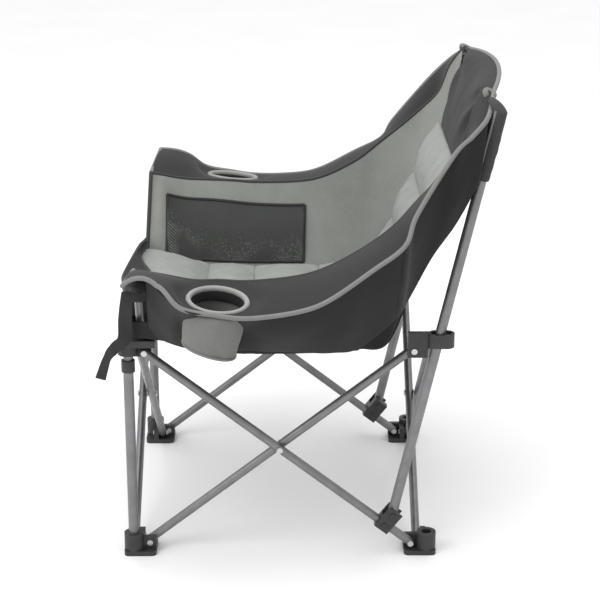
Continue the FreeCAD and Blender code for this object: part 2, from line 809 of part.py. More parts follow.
def back():
    gap = d.sling_gap
    last_row = len(ARM_ROWS) - 1
    top = hung(last_row, TOP_EDGE)
    behind = seam_points(range(SEAT_REAR, last_row + 1)) + [top]
    backing = [(point.x - gap, point.y + 2 * gap, point.z) for point in behind]
    backing[-1] = (top.x, top.y + 2 * gap, top.z)
    solid_node("back_panel", sheet_between(backing, d.sling_thickness))
    pads = [(point.y, point.z) for point in seam_points(range(BACK_FIRST, HEADREST_FIRST + 1))]
    solid_node("back_cushion", quilt(pads, lambda place: d.back_half_width - place * d.back_narrowing,
                                     d.pad_thickness, d.channel_depth))
    head = seam_points(range(HEADREST_FIRST, last_row + 1)) + [top]
    up_the_back = head[1] - head[0]
    head[0] = head[0] + up_the_back.normalize() * d.headrest_gap
    path = [(point.y, point.z) for point in head]
    solid_node("headrest_panel", quilt(path, lambda place: head[place].x - d.headrest_inset,
                                       d.headrest_thickness, d.headrest_gather))


# Mesh pocket: a flat bag front laid on the inner panel of one arm, open at its top

POCKET_PLACES = [0.55, 1.0, 2.0, 3.0, 4.0, 5.0, 5.3]
POCKET_LOW = 0.08
POCKET_HIGH_FRONT = 0.77
POCKET_HIGH_REAR = 0.72


def bowed_panel_point(row, share, sign):
    """Point part of the way up an inner panel, with its belly."""
    seam = edge_point(row, SEAM, sign)
    belly = inner_bow(row) * (4 * share * (1 - share))
    return seam + (edge_point(row, PIPING, sign) - seam) * share + Vector(belly.x * sign, 0, belly.z)


def panel_point(place, share, sign):
    """The same between two rows, where the panel is straight."""
    row = int(place)
    before = bowed_panel_point(row, share, sign)
    return before + (bowed_panel_point(row + 1, share, sign) - before) * (place - row)


def mesh_pocket(side):
    sign = SIDES[side]
    first, last = POCKET_PLACES[0], POCKET_PLACES[-1]
    sections = []
    for place in POCKET_PLACES:
        up = panel_point(place, 1, sign) - panel_point(place, 0, sign)
        towards_seat = Vector(-up.z * sign, 0, up.x * sign).normalize()
        along_mouth = (place - first) / (last - first)
        mouth = d.mesh_gap + d.mesh_mouth * (1 - abs(2 * along_mouth - 1))
        top = POCKET_HIGH_FRONT + (POCKET_HIGH_REAR - POCKET_HIGH_FRONT) * along_mouth
        low = panel_point(place, POCKET_LOW, sign) + towards_seat * d.mesh_gap
        high = panel_point(place, top, sign) + towards_seat * mouth
        flat = [Vector(0, 0, 0)]
        face = [low + towards_seat * d.mesh, high + towards_seat * d.mesh]
        sections.append(([low, high], face, flat, flat))
    solid_node("mesh_pocket", stuffed(sections))


# Pocket at the foot of each arm post, cap on its top, and the strap at the front of one arm

STRAP_SIDE = "right"
STRAP_FALL = [(0, 0, 0), (-3, -22, -60), (-8, -44, -115), (-14, -74, -160)]


def post_cover(side):
    axis = post_axis(side)
    base = post_base(side)
    cover_radius = d.post_diameter / 2 + d.post_cover_wall
    pocket_start = base + axis * d.boss_height
    pocket = Part.makeCylinder(cover_radius, d.post_pocket_height, pocket_start, axis)
    cap_start = base + axis * (d.post_length + d.post_cover_wall - d.post_cap_height)
    cap = Part.makeCylinder(cover_radius, d.post_cap_height, cap_start, axis)
    post = Part.makeCylinder(d.post_diameter / 2, d.post_length, base, axis)
    pieces = [pocket.cut(post), cap.cut(post)]
    if side == STRAP_SIDE:
        pieces.append(strap(cap_start + axis * (d.post_cap_height / 2) - Y_AXIS * cover_radius))
    solid_node(f"post_cover_{side}", Part.makeCompound(pieces))


def strap(root):
    sections = []
    for x, y, z in STRAP_FALL:
        centre = root + Vector(x, y, z)
        half = Vector(d.strap_width / 2, 0, 0)
        depth = Vector(0, -d.strap_thickness, 0)
        flat = [Vector(0, 0, 0)]
        near = [centre - half, centre + half]
        sections.append((near, [point + depth for point in near], flat, flat))
    return stuffed(sections)


MESH_SIDE = "left"

seat()
back()
arm_cloth()
for side_name in SIDES:
    cup_holder(side_name)
    post_cover(side_name)
mesh_pocket(MESH_SIDE)


# The origin is on the floor below the middle of the whole chair

doc.recompute()
failed = [thing.Label for thing in doc.Objects if {"Invalid", "Error"} & set(thing.State)]
bad = [thing.Label for thing in nodes if thing.Shape.isNull() or not thing.Shape.isValid()]
if failed or bad:
    raise RuntimeError(f"failed objects {failed}, bad shapes {bad}")
whole = FreeCAD.BoundBox()
for thing in nodes:
    whole.add(thing.Shape.optimalBoundingBox(False))
shift = Vector(-whole.Center.x, -whole.Center.y, -whole.ZMin)
for thing in nodes:
    thing.Placement = Placement(shift, Rotation()).multiply(thing.Placement)
doc.recompute()
print("shift", shift, "box", whole.XLength, whole.YLength, whole.ZLength)

os.makedirs("parts", exist_ok=True)
for thing in nodes:
    thing.Shape.exportStep(f"parts/{thing.Label}.step")
print(len(nodes), "nodes")
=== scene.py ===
import json
import math

import bmesh
import bpy
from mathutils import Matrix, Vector, noise


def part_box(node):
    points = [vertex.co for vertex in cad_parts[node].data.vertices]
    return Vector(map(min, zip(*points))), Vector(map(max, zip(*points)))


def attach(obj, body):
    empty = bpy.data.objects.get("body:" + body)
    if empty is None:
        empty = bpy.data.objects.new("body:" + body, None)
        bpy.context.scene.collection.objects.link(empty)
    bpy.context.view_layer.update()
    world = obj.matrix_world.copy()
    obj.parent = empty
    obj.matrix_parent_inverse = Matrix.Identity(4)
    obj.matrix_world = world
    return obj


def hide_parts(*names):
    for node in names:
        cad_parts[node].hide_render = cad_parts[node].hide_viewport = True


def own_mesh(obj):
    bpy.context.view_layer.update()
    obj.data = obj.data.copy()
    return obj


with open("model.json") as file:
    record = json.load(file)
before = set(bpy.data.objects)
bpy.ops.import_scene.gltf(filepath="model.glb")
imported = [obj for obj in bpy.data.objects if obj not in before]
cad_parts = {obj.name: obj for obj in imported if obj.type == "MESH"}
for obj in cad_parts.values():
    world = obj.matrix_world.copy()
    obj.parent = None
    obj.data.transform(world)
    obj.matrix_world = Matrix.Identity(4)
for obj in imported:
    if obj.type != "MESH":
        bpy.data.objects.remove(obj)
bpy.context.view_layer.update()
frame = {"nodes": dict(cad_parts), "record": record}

SIDES = {"right": 1, "left": -1}


# Places read from the frame

def middle(node):
    low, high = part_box(node)
    return (Vector(low) + Vector(high)) / 2


FRAME_Y = ((middle("front_foot_right") + middle("rear_foot_left")) / 2).y

# Edge lines of one arm's cloth, row by row from its front to the top of the back, in metres from
# the frame's middle: the seam on the seat, the inner piping, the rim and the lower hem
ARM_ROWS = [
    ((0.227, -0.278, 0.437), (0.293, -0.268, 0.582), (0.440, -0.260, 0.598), (0.300, -0.232, 0.446)),
    ((0.236, -0.200, 0.404), (0.330, -0.205, 0.568), (0.455, -0.205, 0.590), (0.300, -0.232, 0.446)),
    ((0.250, -0.150, 0.396), (0.343, -0.150, 0.562), (0.476, -0.165, 0.557), (0.345, -0.165, 0.440)),
    ((0.254, -0.108, 0.392), (0.340, -0.105, 0.561), (0.478, -0.108, 0.545), (0.372, -0.108, 0.440)),
    ((0.254, -0.054, 0.391), (0.337, -0.050, 0.558), (0.475, -0.050, 0.538), (0.370, -0.060, 0.442)),
    ((0.254, 0.030, 0.391), (0.325, 0.033, 0.563), (0.460, 0.033, 0.544), (0.358, 0.037, 0.433)),
    ((0.252, 0.080, 0.393), (0.312, 0.089, 0.577), (0.445, 0.087, 0.560), (0.345, 0.095, 0.430)),
    ((0.250, 0.148, 0.398), (0.304, 0.155, 0.612), (0.420, 0.160, 0.604), (0.330, 0.140, 0.428)),
    ((0.240, 0.196, 0.405), (0.303, 0.204, 0.650), (0.395, 0.216, 0.640), (0.320, 0.206, 0.484)),
    ((0.226, 0.240, 0.511), (0.281, 0.246, 0.690), (0.362, 0.238, 0.686), (0.310, 0.228, 0.510)),
    ((0.212, 0.282, 0.612), (0.268, 0.293, 0.735), (0.315, 0.302, 0.777), (0.302, 0.268, 0.590)),
    ((0.198, 0.328, 0.718), (0.255, 0.325, 0.772), (0.312, 0.335, 0.812), (0.300, 0.312, 0.652)),
    ((0.186, 0.348, 0.790), (0.222, 0.342, 0.830), (0.290, 0.362, 0.840), (0.296, 0.350, 0.735)),
    ((0.178, 0.360, 0.850), (0.190, 0.362, 0.868), (0.215, 0.378, 0.866), (0.292, 0.366, 0.800)),
]
SEAM, PIPING, RIM, HEM = range(4)
LAST_ROW = len(ARM_ROWS) - 1
HEM_LAST = 12
SPLIT_ROW = 8
TOP_EDGE = (0.207, 0.379, 0.866)
TOP_BACK, TOP_RISE = 0.029, 0.013
# The strap pulls the front corner of the right-hand arm down; the other arm's corner stands up
FRONT_CORNERS = {
    1: {PIPING: (0.298, -0.257, 0.566), RIM: (0.436, -0.264, 0.583)},
    -1: {PIPING: (0.293, -0.271, 0.590), RIM: (0.440, -0.261, 0.604)},
}
FRONT_ARCH = {1: 0.011, -1: 0.002}
# The side panel is sewn to the underside of the arm, behind the post
SIDE_FRONT = 1
SIDE_FRONT_TOP = (0.352, -0.231, 0.572)
ROW_STEPS = 8


def on_frame(point, sign=1):
    """A point given from the frame's middle, on one side of the chair, in the part's frame."""
    return Vector((point[0] * sign, point[1] + FRAME_Y, point[2]))


def smooth_point(points, place):
    """Point on a smooth line through points, at a fractional place in the list."""
    start = min(int(place), len(points) - 2)
    t = place - start
    before = points[max(start - 1, 0)]
    first, last = points[start], points[start + 1]
    after = points[min(start + 2, len(points) - 1)]
    leave, arrive = (last - before) / 2, (after - first) / 2
    square, cube = t * t, t * t * t
    return (first * (2 * cube - 3 * square + 1) + leave * (cube - 2 * square + t)
            + last * (3 * square - 2 * cube) + arrive * (cube - square))


def edge_points(line, sign):
    """Corners of an edge line on one side of the chair."""
    rows = [row[line] for row in ARM_ROWS]
    rows[0] = FRONT_CORNERS[sign].get(line, rows[0])
    return [on_frame(row, sign) for row in rows]


def swell(share):
    """Smooth rise and fall: 0 at both ends and 1 halfway."""
    return math.sin(math.pi * share)


def bell(place, middle_place, width):
    return math.exp(-((place - middle_place) / width) ** 2)


def shares(count):
    return [step / count for step in range(count + 1)]


def line_through(points, first, last):
    """Smooth line through points from one row to another, as (row place, point) pairs."""
    count = (last - first) * ROW_STEPS
    places = [first + step / ROW_STEPS for step in range(count + 1)]
    return [(place, smooth_point(points, place)) for place in places]


def points_of(line):
    return [point for place, point in line]


def edge_line(line, sign, first, last):
    made = line_through(edge_points(line, sign), first, last)
    if line == RIM:
        for place, point in made:
            point.z += FRONT_ARCH[sign] * swell(min(place, 1.0))
    return made


def side_top_line(sign, first, last):
    """Upper edge of a side panel: the rim, but for its front corner."""
    points = edge_points(RIM, sign)
    points[:SIDE_FRONT + 1] = [on_frame(SIDE_FRONT_TOP, sign)] * (SIDE_FRONT + 1)
    return line_through(points, first, last)


# Making objects

def placed(name, data):
    """New object in the scene."""
    made = bpy.data.objects.new(name, data)
    bpy.context.scene.collection.objects.link(made)
    return made


def new_object(name, bm, material, smooth=True):
    mesh = bpy.data.meshes.new(name)
    for face in bm.faces:
        face.smooth = smooth
    bm.to_mesh(mesh)
    bm.free()
    mesh.materials.append(material)
    return placed(name, mesh)


def settle(piece):
    """Makes a piece's modifiers part of its mesh."""
    bpy.context.view_layer.update()
    final = piece.evaluated_get(bpy.context.evaluated_depsgraph_get())
    mesh = bpy.data.meshes.new_from_object(final)
    piece.modifiers.clear()
    piece.data = mesh
    return piece


def rounded(piece):
    smooth = piece.modifiers.new("smooth", "SUBSURF")
    smooth.levels = smooth.render_levels = 1
    return settle(piece)


def thicken(piece, thickness):
    wall = piece.modifiers.new("wall", "SOLIDIFY")
    wall.thickness = thickness
    wall.offset = 0.0
    return rounded(piece)


def sewn(name, bm, material, thickness):
    """Cloth from a sheet's bmesh, and the area of the sheet."""
    bmesh.ops.recalc_face_normals(bm, faces=bm.faces)
    area = sum(face.calc_area() for face in bm.faces)
    return thicken(new_object(name, bm, material), thickness), area


def chain(bm, points):
    verts = [bm.verts.new(point) for point in points]
    return verts, [bm.edges.new(pair) for pair in zip(verts, verts[1:])]


def sheet_between(first, last, across):
    """Cloth between two lines of as many points: its bmesh, and its along and across layers."""
    bm = bmesh.new()
    along = bm.verts.layers.float.new("along")
    over = bm.verts.layers.float.new("across")
    edges = []
    for share, line in enumerate((first, last)):
        verts, made = chain(bm, points_of(line))
        edges += made
        for vert, (place, point) in zip(verts, line):
            vert[along] = place
            vert[over] = share
    bmesh.ops.bridge_loops(bm, edges=edges)
    rungs = [edge for edge in bm.edges if edge.verts[0][over] != edge.verts[1][over]]
    bmesh.ops.subdivide_edges(bm, edges=rungs, cuts=across - 1, use_grid_fill=True)
    bm.normal_update()
    return bm, along, over


TRIM_FACETS = 3


def trim_along(name, points, radius, material, closed=False):
    """Sewn trim: a round welt that follows points."""
    curve = bpy.data.curves.new(name, "CURVE")
    curve.dimensions = "3D"
    curve.bevel_depth = radius
    curve.bevel_resolution = TRIM_FACETS
    curve.use_fill_caps = True
    spline = curve.splines.new("POLY")
    spline.use_cyclic_u = closed
    spline.points.add(len(points) - 1)
    for knot, point in zip(spline.points, points):
        knot.co = (*point, 1)
    drawn = bpy.data.objects.new(name, curve)
    mesh = bpy.data.meshes.new_from_object(drawn)
    mesh.name = name
    bpy.data.objects.remove(drawn)
    bpy.data.curves.remove(curve)
    mesh.shade_smooth()
    mesh.materials.clear()
    mesh.materials.append(material)
    return placed(name, mesh)


def spot(vert):
    """Place of a vertex, rounded so that it can be looked up."""
    return tuple(round(value, 5) for value in vert.co)


def split_piece(piece, names, cut):
    """Two pieces of one cloth, shaded as one; cut takes one side of its bmesh away."""
    whole = {spot(vert): vert.normal.copy() for vert in piece.data.vertices}
    halves = []
    for name, side in zip(names, (1, -1)):
        bm = bmesh.new()
        bm.from_mesh(piece.data)
        bmesh.ops.edgeloop_fill(bm, edges=cut(bm, side))
        half = new_object(name, bm, piece.data.materials[0])
        for material in piece.data.materials[1:]:
            half.data.materials.append(material)
        kept = [whole.get(spot(vert), vert.normal) for vert in half.data.vertices]
        half.data.normals_split_custom_set_from_vertices(kept)
        halves.append(half)
    bpy.data.objects.remove(piece)
    return halves


def cut_in_middle(bm, side):
    """Takes one side of the chair away; gives the edges of the cut."""
    made = bmesh.ops.bisect_plane(bm, geom=bm.verts[:] + bm.edges[:] + bm.faces[:], dist=1e-5,
                                  plane_co=(0, 0, 0), plane_no=(-side, 0, 0), clear_outer=True)
    return [part for part in made["geom_cut"] if isinstance(part, bmesh.types.BMEdge)]


def cut_at_row(bm, side):
    """Takes the rows before or after the arm's split away; gives the edges of the cut."""
    along = bm.verts.layers.float["along"]
    away = [face for face in bm.faces
            if side * (sum(vert[along] for vert in face.verts) / len(face.verts) - SPLIT_ROW) > 0]
    bmesh.ops.delete(bm, geom=away, context="FACES")
    return [edge for edge in bm.edges if edge.is_boundary]


# Materials

def shader(name, roughness, metallic=0.0):
    material = bpy.data.materials.new(name)
    material.use_nodes = True
    tree = material.node_tree
    surface = tree.nodes["Principled BSDF"]
    surface.inputs["Roughness"].default_value = roughness
    surface.inputs["Metallic"].default_value = metallic
    place = tree.nodes.new("ShaderNodeTexCoord")
    return material, tree, surface, place.outputs["Object"]


def feed(tree, socket, value):
    """Sets a socket to a number or a tuple, or links an output to it."""
    if isinstance(value, bpy.types.NodeSocket):
        tree.links.new(value, socket)
    elif socket.type == "RGBA":
        socket.default_value = (*value, 1.0)
    else:
        socket.default_value = value


def node(tree, kind, **inputs):
    made = tree.nodes.new(f"ShaderNode{kind}")
    for name, value in inputs.items():
        feed(tree, made.inputs[name], value)
    return made


def mapped(tree, place, scale, rotation=(0, 0, 0)):
    return node(tree, "Mapping", Vector=place, Rotation=rotation, Scale=scale).outputs["Vector"]


def noise_value(tree, place, scale, detail=3.0):
    return node(tree, "TexNoise", Vector=place, Scale=scale, Detail=detail).outputs["Fac"]


def grey(value):
    return (value, value, value)


def toned(shade, factor):
    return tuple(value * factor for value in shade)


def ramp(tree, value, stops):
    """Colour between two (place, colour) stops."""
    made = node(tree, "ValToRGB", Fac=value)
    for stop, (place, colour) in zip(made.color_ramp.elements, stops):
        stop.position = place
        stop.color = (*colour, 1.0)
    return made.outputs["Color"]


def dye(tree, surface, value, stops, socket="Base Color"):
    tree.links.new(ramp(tree, value, stops), surface.inputs[socket])


def combine(tree, kind, first, second):
    made = tree.nodes.new("ShaderNodeMath")
    made.operation = kind
    for socket, value in zip(made.inputs, (first, second)):
        feed(tree, socket, value)
    return made.outputs["Value"]


def mix_colours(tree, share, first, second, kind="MIX"):
    made = tree.nodes.new("ShaderNodeMix")
    made.data_type = "RGBA"
    made.blend_type = kind
    sockets = made.inputs[0], made.inputs[6], made.inputs[7]
    for socket, value in zip(sockets, (share, first, second)):
        feed(tree, socket, value)
    return made.outputs[2]


def bump(tree, surface, height, strength, distance):
    made = node(tree, "Bump", Strength=strength, Distance=distance, Height=height)
    tree.links.new(made.outputs["Normal"], surface.inputs["Normal"])


def threads(tree, place, pitch):
    """Over-and-under weave: uneven yarns that run along each of the three ways."""
    fine, slow = 1.0 / pitch, 0.1 / pitch
    yarns = []
    for scale in ((slow, fine, fine), (fine, slow, fine), (fine, fine, slow)):
        yarns.append(noise_value(tree, mapped(tree, place, scale), 1.0, 1.0))
    return combine(tree, "MAXIMUM", combine(tree, "MAXIMUM", yarns[0], yarns[1]), yarns[2])


def woven(name, shade, pitch=0.0016, sheen=0.06):
    """Woven cloth: threads, uneven dye and a soft bloom."""
    material, tree, surface, place = shader(name, 0.85)
    weave = threads(tree, place, pitch)
    patchy = noise_value(tree, place, 26.0)
    fine = noise_value(tree, place, 900.0, 1.0)
    dyed = ramp(tree, patchy, [(0.3, toned(shade, 0.95)), (0.7, toned(shade, 1.04))])
    picked = ramp(tree, weave, [(0.40, grey(0.84)), (0.72, grey(1.0))])
    colour = mix_colours(tree, 1.0, dyed, picked, "MULTIPLY")
    looks = {"Sheen Weight": sheen, "Sheen Roughness": 0.45, "Specular IOR Level": 0.25,
             "Base Color": colour}
    for socket, value in looks.items():
        feed(tree, surface.inputs[socket], value)
    bump(tree, surface, combine(tree, "ADD", weave, fine), 0.35, 0.0004)
    return material


def mesh_net(name, shade, seen_through, pitch=0.0042):
    """Open warp-knit net: dark yarn round small staggered holes."""
    material, tree, surface, place = shader(name, 0.75)
    slant = mapped(tree, place, (0.02, 1.0, 1.0), (math.radians(45), 0, 0))
    holes = node(tree, "TexVoronoi", Vector=slant, Scale=1.0 / pitch, Randomness=0.12)
    holes.feature = "DISTANCE_TO_EDGE"
    patchy = noise_value(tree, place, 14.0, 1.0)
    showing = ramp(tree, patchy, [(0.36, shade), (0.54, seen_through)])
    inside = holes.outputs["Distance"]
    opened = ramp(tree, inside, [(0.16, grey(0)), (0.30, grey(1))])
    tree.links.new(mix_colours(tree, opened, shade, showing), surface.inputs["Base Color"])
    bump(tree, surface, inside, 0.6, 0.0008)
    return material


def coated_tube(name, shade):
    """Powder-coated steel tube: fine orange peel and a few scuffs."""
    material, tree, surface, place = shader(name, 0.34, 0.75)
    patchy = noise_value(tree, place, 40.0)
    dye(tree, surface, patchy, [(0.35, toned(shade, 0.9)), (0.7, toned(shade, 1.08))])
    scuffs = noise_value(tree, mapped(tree, place, (1.0, 1.0, 0.15)), 160.0, 4.0)
    dye(tree, surface, scuffs, [(0.35, grey(0.30)), (0.75, grey(0.48))], "Roughness")
    bump(tree, surface, noise_value(tree, place, 700.0, 1.0), 0.08, 0.0003)
    return material


def moulded(name, shade):
    """Grained moulded plastic, a little paler where it is rubbed."""
    material, tree, surface, place = shader(name, 0.5)
    patchy = noise_value(tree, place, 60.0)
    dye(tree, surface, patchy, [(0.4, shade), (0.8, toned(shade, 1.5))])
    rubbed = noise_value(tree, place, 90.0)
    dye(tree, surface, rubbed, [(0.3, grey(0.42)), (0.7, grey(0.6))], "Roughness")
    bump(tree, surface, noise_value(tree, place, 1400.0, 1.0), 0.18, 0.0004)
    return material


def riveted_steel(name):
    material, tree, surface, place = shader(name, 0.35, 1.0)
    grain = noise_value(tree, mapped(tree, place, grey(400.0)), 1.0)
    dye(tree, surface, grain, [(0.3, grey(0.42)), (0.7, grey(0.62))])
    bump(tree, surface, grain, 0.1, 0.0003)
    return material


outer_cloth = woven("charcoal_outer_cloth", (0.014, 0.014, 0.0145))
arm_top_cloth = woven("charcoal_arm_cloth", (0.024, 0.024, 0.0245))
sleeve_cloth = woven("grey_sleeve_cloth", (0.048, 0.048, 0.049))
inner_cloth = woven("grey_inner_cloth", (0.235, 0.243, 0.228), sheen=0.1)
pad_cloth = woven("pale_grey_pad_cloth", (0.265, 0.273, 0.26), sheen=0.1)
pouch_cloth = woven("grey_pouch_cloth", (0.165, 0.165, 0.16), sheen=0.08)
welt_cloth = woven("grey_welt_tape", (0.19, 0.19, 0.187), pitch=0.0012)
dark_welt_cloth = woven("dark_welt_tape", (0.05, 0.05, 0.05), pitch=0.0012)
ring_cloth = woven("pale_ring_binding", (0.30, 0.30, 0.295), pitch=0.0012)
webbing_cloth = woven("dark_webbing", (0.032, 0.032, 0.032), pitch=0.0022)
net = mesh_net("pocket_net", (0.026, 0.028, 0.026), (0.20, 0.21, 0.20))
FINISHES = {
    "tube": coated_tube("silver_grey_tube", (0.20, 0.20, 0.205)),
    "plastic": moulded("black_moulding", (0.022, 0.022, 0.023)),
    "rivet": riveted_steel("steel_rivet"),
}
for part in frame["record"]["subparts"]:
    finish = FINISHES.get(part["material_slot"])
    if finish:
        shown = frame["nodes"][part["node"]]
        shown.data.materials.clear()
        shown.data.materials.append(finish)


# How soft pieces are carried when the frame folds: those of the front half ride the arm posts' hubs,
# those of the seat and the back ride the bodies that hold them

CLOTH, STOUT_CLOTH, THIN_CLOTH, WEBBING = 0.0024, 0.003, 0.0016, 0.0018
SECTIONS = {"front": (0, SPLIT_ROW), "rear": (SPLIT_ROW, LAST_ROW)}


def hang(piece, body, *nodes, slot):
    """Puts a piece on a body, in place of the nodes that it stands for."""
    if nodes:
        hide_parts(*nodes)
    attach(piece, body)


def draw_in(piece):
    """Gives a piece its own copy of its mesh."""
    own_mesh(piece)


def carry(piece, section, side, *nodes, slot):
    """Hangs an arm's piece on its post or its upright."""
    if section == "front":
        hang(piece, f"front_hub_{side}", *nodes, slot=slot)
        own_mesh(piece)
    else:
        hang(piece, f"upright_{side}", *nodes, slot=slot)


def carry_seat(piece, body, *nodes, slot):
    hang(piece, body, *nodes, slot=slot)
    draw_in(piece)


def carry_half(piece, side, *nodes, slot):
    """Hangs half of a piece of the back on its upright."""
    hang(piece, f"upright_{side}", *nodes, slot=slot)
    draw_in(piece)


def carry_back(piece, *nodes, slot):
    """Splits a piece of the back in its middle and hangs the halves on the uprights."""
    names = [f"{piece.name}_{side}" for side in SIDES]
    halves = split_piece(piece, names, cut_in_middle)
    for half, side in zip(halves, SIDES):
        carry_half(half, side, *nodes, slot=slot)
    return halves


# Arms: inner panel, top and hanging side of each

CUP_PLACE = (0.416, -0.104, 0.549)
CUP_LEAN, CUP_PITCH = math.radians(6.5), math.radians(5.5)
BAG_ROOM, BAG_MOUTH, BAG_LAP, BAG_SOLE = 0.006, 0.010, 0.007, 0.008
BAG_OUT, BAG_OUT_RATE, BAG_AHEAD = 0.014, 12, 0.008
RING_OUTER, RING_INNER = 0.0555, 0.046
RING_TOP, RING_LOW = 0.005, -0.006
FLAT_REACH, FLAT_FADE = 0.028, 0.022
BAG_REACH, BAG_FADE = 0.030, 0.028
POUCH_RADIUS, POUCH_DEPTH = 0.053, 0.082


def cup_axis(sign):
    return Vector((sign * math.tan(CUP_LEAN), math.tan(CUP_PITCH), 1)).normalized()


def cup_centre(sign):
    return on_frame(CUP_PLACE, sign)


def bag_drift(sign, depth):
    """The bag hangs out of the ring, and a little forward of its axis, by its share of depth."""
    return Vector((sign * BAG_OUT * min(1.0, depth * BAG_OUT_RATE), -BAG_AHEAD * depth, 0))


def in_bag(point, sign):
    """Depth of a point below the ring, its share of the bag's, and its way from the middle."""
    depth = (cup_centre(sign) - point).dot(cup_axis(sign))
    share = min(1.0, max(0.0, depth / POUCH_DEPTH))
    away = point - cup_centre(sign) + cup_axis(sign) * depth - bag_drift(sign, share)
    return depth, share, away


def in_cup(point, sign, mouth_room):
    """Whether cloth at a point is cut away for the ring or the bag."""
    depth, _, away = in_bag(point, sign)
    room = mouth_room if depth < BAG_MOUTH else -BAG_LAP
    return away.length < RING_OUTER + room and depth < POUCH_DEPTH - BAG_SOLE


def eased(share):
    """Smooth step from 0 to 1."""
    share = min(1.0, max(0.0, share))
    return share * share * (3 - 2 * share)


def laid_flat(point, sign):
    """How far the arm's top is drawn to the level of the ring."""
    depth, _, away = in_bag(point, sign)
    return cup_axis(sign) * depth * eased((RING_OUTER + FLAT_REACH - away.length) / FLAT_FADE)


def beside_bag(point, sign):
    """Share of a point of the side panel that lies behind the cup's bag."""
    return eased((RING_OUTER + BAG_REACH - abs(point.y - cup_centre(sign).y)) / BAG_FADE)


INNER_BELLY, FRONT_FOLD, FRONT_FOLD_ROW, FRONT_FOLD_ROWS = 0.007, 0.010, 0.42, 0.16
TOP_CROWN, CUP_ROW, CUP_ROWS = 0.006, 3, 1.2
SIDE_BELLY, SIDE_FLARE, SIDE_FOLD = 0.012, 0.004, 0.005
SIDE_FOLD_RATE, SIDE_FOLD_SLANT = 3.1, 2.2


def inner_belly(place, share):
    full = INNER_BELLY * swell(place / LAST_ROW) * 4 * share * (1 - share)
    return full - FRONT_FOLD * bell(place, FRONT_FOLD_ROW, FRONT_FOLD_ROWS) * swell(share) ** 0.5


def top_crown(place, share):
    return TOP_CROWN * swell(share) * (1 - bell(place, CUP_ROW, CUP_ROWS))


def side_belly(place, share):
    fold = SIDE_FOLD * math.sin(place * SIDE_FOLD_RATE + SIDE_FOLD_SLANT * share) * share
    return SIDE_BELLY * swell(share) + SIDE_FLARE * share + fold


def ruffle(point, size, height):
    """Small uneven wrinkles of slack cloth."""
    return height * (noise.noise(point / size) + 0.5 * noise.noise(point / size * 2.3))


INNER_SLOPE = -0.4
# of each panel: its two edges, cloth, belly, wrinkles, faces across, slot, way out, and how far the
# cup's mouth is cut past the ring
PANELS = {
    "inner_panel": (SEAM, PIPING, inner_cloth, inner_belly, 0.0012, 16, "inner_cloth",
                    (1, 0, INNER_SLOPE), None),
    "arm_top": (PIPING, RIM, arm_top_cloth, top_crown, 0.0010, 18, "arm_cloth", (0, 0, 1), -0.004),
    "side_panel": (RIM, HEM, outer_cloth, side_belly, 0.0022, 18, "dark_cloth", (1, 0, 0), 0.001),
}


def arm_panel(kind, side):
    top, foot, material, belly, wrinkle, across, slot, way_out, mouth_room = PANELS[kind]
    sign = SIDES[side]
    if kind == "side_panel":
        first, last = SIDE_FRONT, HEM_LAST
        upper = side_top_line(sign, first, last)
    else:
        first, last = 0, LAST_ROW
        upper = edge_line(top, sign, first, last)
    lower = edge_line(foot, sign, first, last)
    bm, along, over = sheet_between(upper, lower, across)
    outward = Vector((way_out[0] * sign, *way_out[1:]))
    for vert in bm.verts:
        share = vert[over]
        fade = swell(share)
        bulge = belly(vert[along], share) + fade * ruffle(vert.co, 0.06, wrinkle)
        if kind == "side_panel":
            bulge -= (bulge + BAG_ROOM * fade) * beside_bag(vert.co, sign)
        vert.co += outward * bulge
        if kind == "arm_top":
            vert.co += laid_flat(vert.co, sign) * fade ** 0.5
    if mouth_room is not None:
        hole = [face for face in bm.faces if in_cup(face.calc_center_median(), sign, mouth_room)]
        bmesh.ops.delete(bm, geom=hole, context="FACES")
    bmesh.ops.recalc_face_normals(bm, faces=bm.faces)
    areas = [0.0, 0.0]
    for face in bm.faces:
        areas[face.verts[0][along] + face.verts[2][along] > 2 * SPLIT_ROW] += face.calc_area()
    piece = thicken(new_object(kind, bm, material), CLOTH)
    if kind == "inner_panel":
        piece.data.materials.append(outer_cloth)
        for face in piece.data.polygons:
            face.material_index = int(face.normal.dot(outward) > 0)
    names = [f"{kind}_{section}_{side}" for section in SECTIONS]
    for section, half, area in zip(SECTIONS, split_piece(piece, names, cut_at_row), areas):
        carry(half, section, side, f"{kind}_{side}", slot=slot)


WELT, THIN_WELT = 0.0042, 0.0030


def edge_run(first, last, steps=14):
    return [first.lerp(last, share) for share in shares(steps)]


def arm_welts(section, side):
    sign = SIDES[side]
    first, last = SECTIONS[section]
    rim, inner = (points_of(edge_line(line, sign, first, last)) for line in (RIM, PIPING))
    welts = [("rim_welt", rim, WELT, welt_cloth), ("inner_welt", inner, THIN_WELT, dark_welt_cloth)]
    if section == "front":
        low, inside, outside = [edge_points(line, sign)[0] for line in (SEAM, PIPING, RIM)]
        welts.append(("front_inner_welt", edge_run(low, inside), WELT, dark_welt_cloth))
        welts.append(("front_top_welt", edge_run(inside, outside), WELT, welt_cloth))
    for kind, points, radius, material in welts:
        piece = trim_along(f"{kind}_{section}_{side}", points, radius, material)
        carry(piece, section, side, slot="binding")


# Cup holders: a bound ring, a dark band inside it that paints the shade in the bag's mouth, and the
# bag that hangs from it

def upright_along(axis, place):
    """Matrix that turns Z along an axis and moves the origin to a place."""
    turn = axis.to_track_quat("Z", "Y").to_matrix().to_4x4()
    turn.translation = place
    return turn


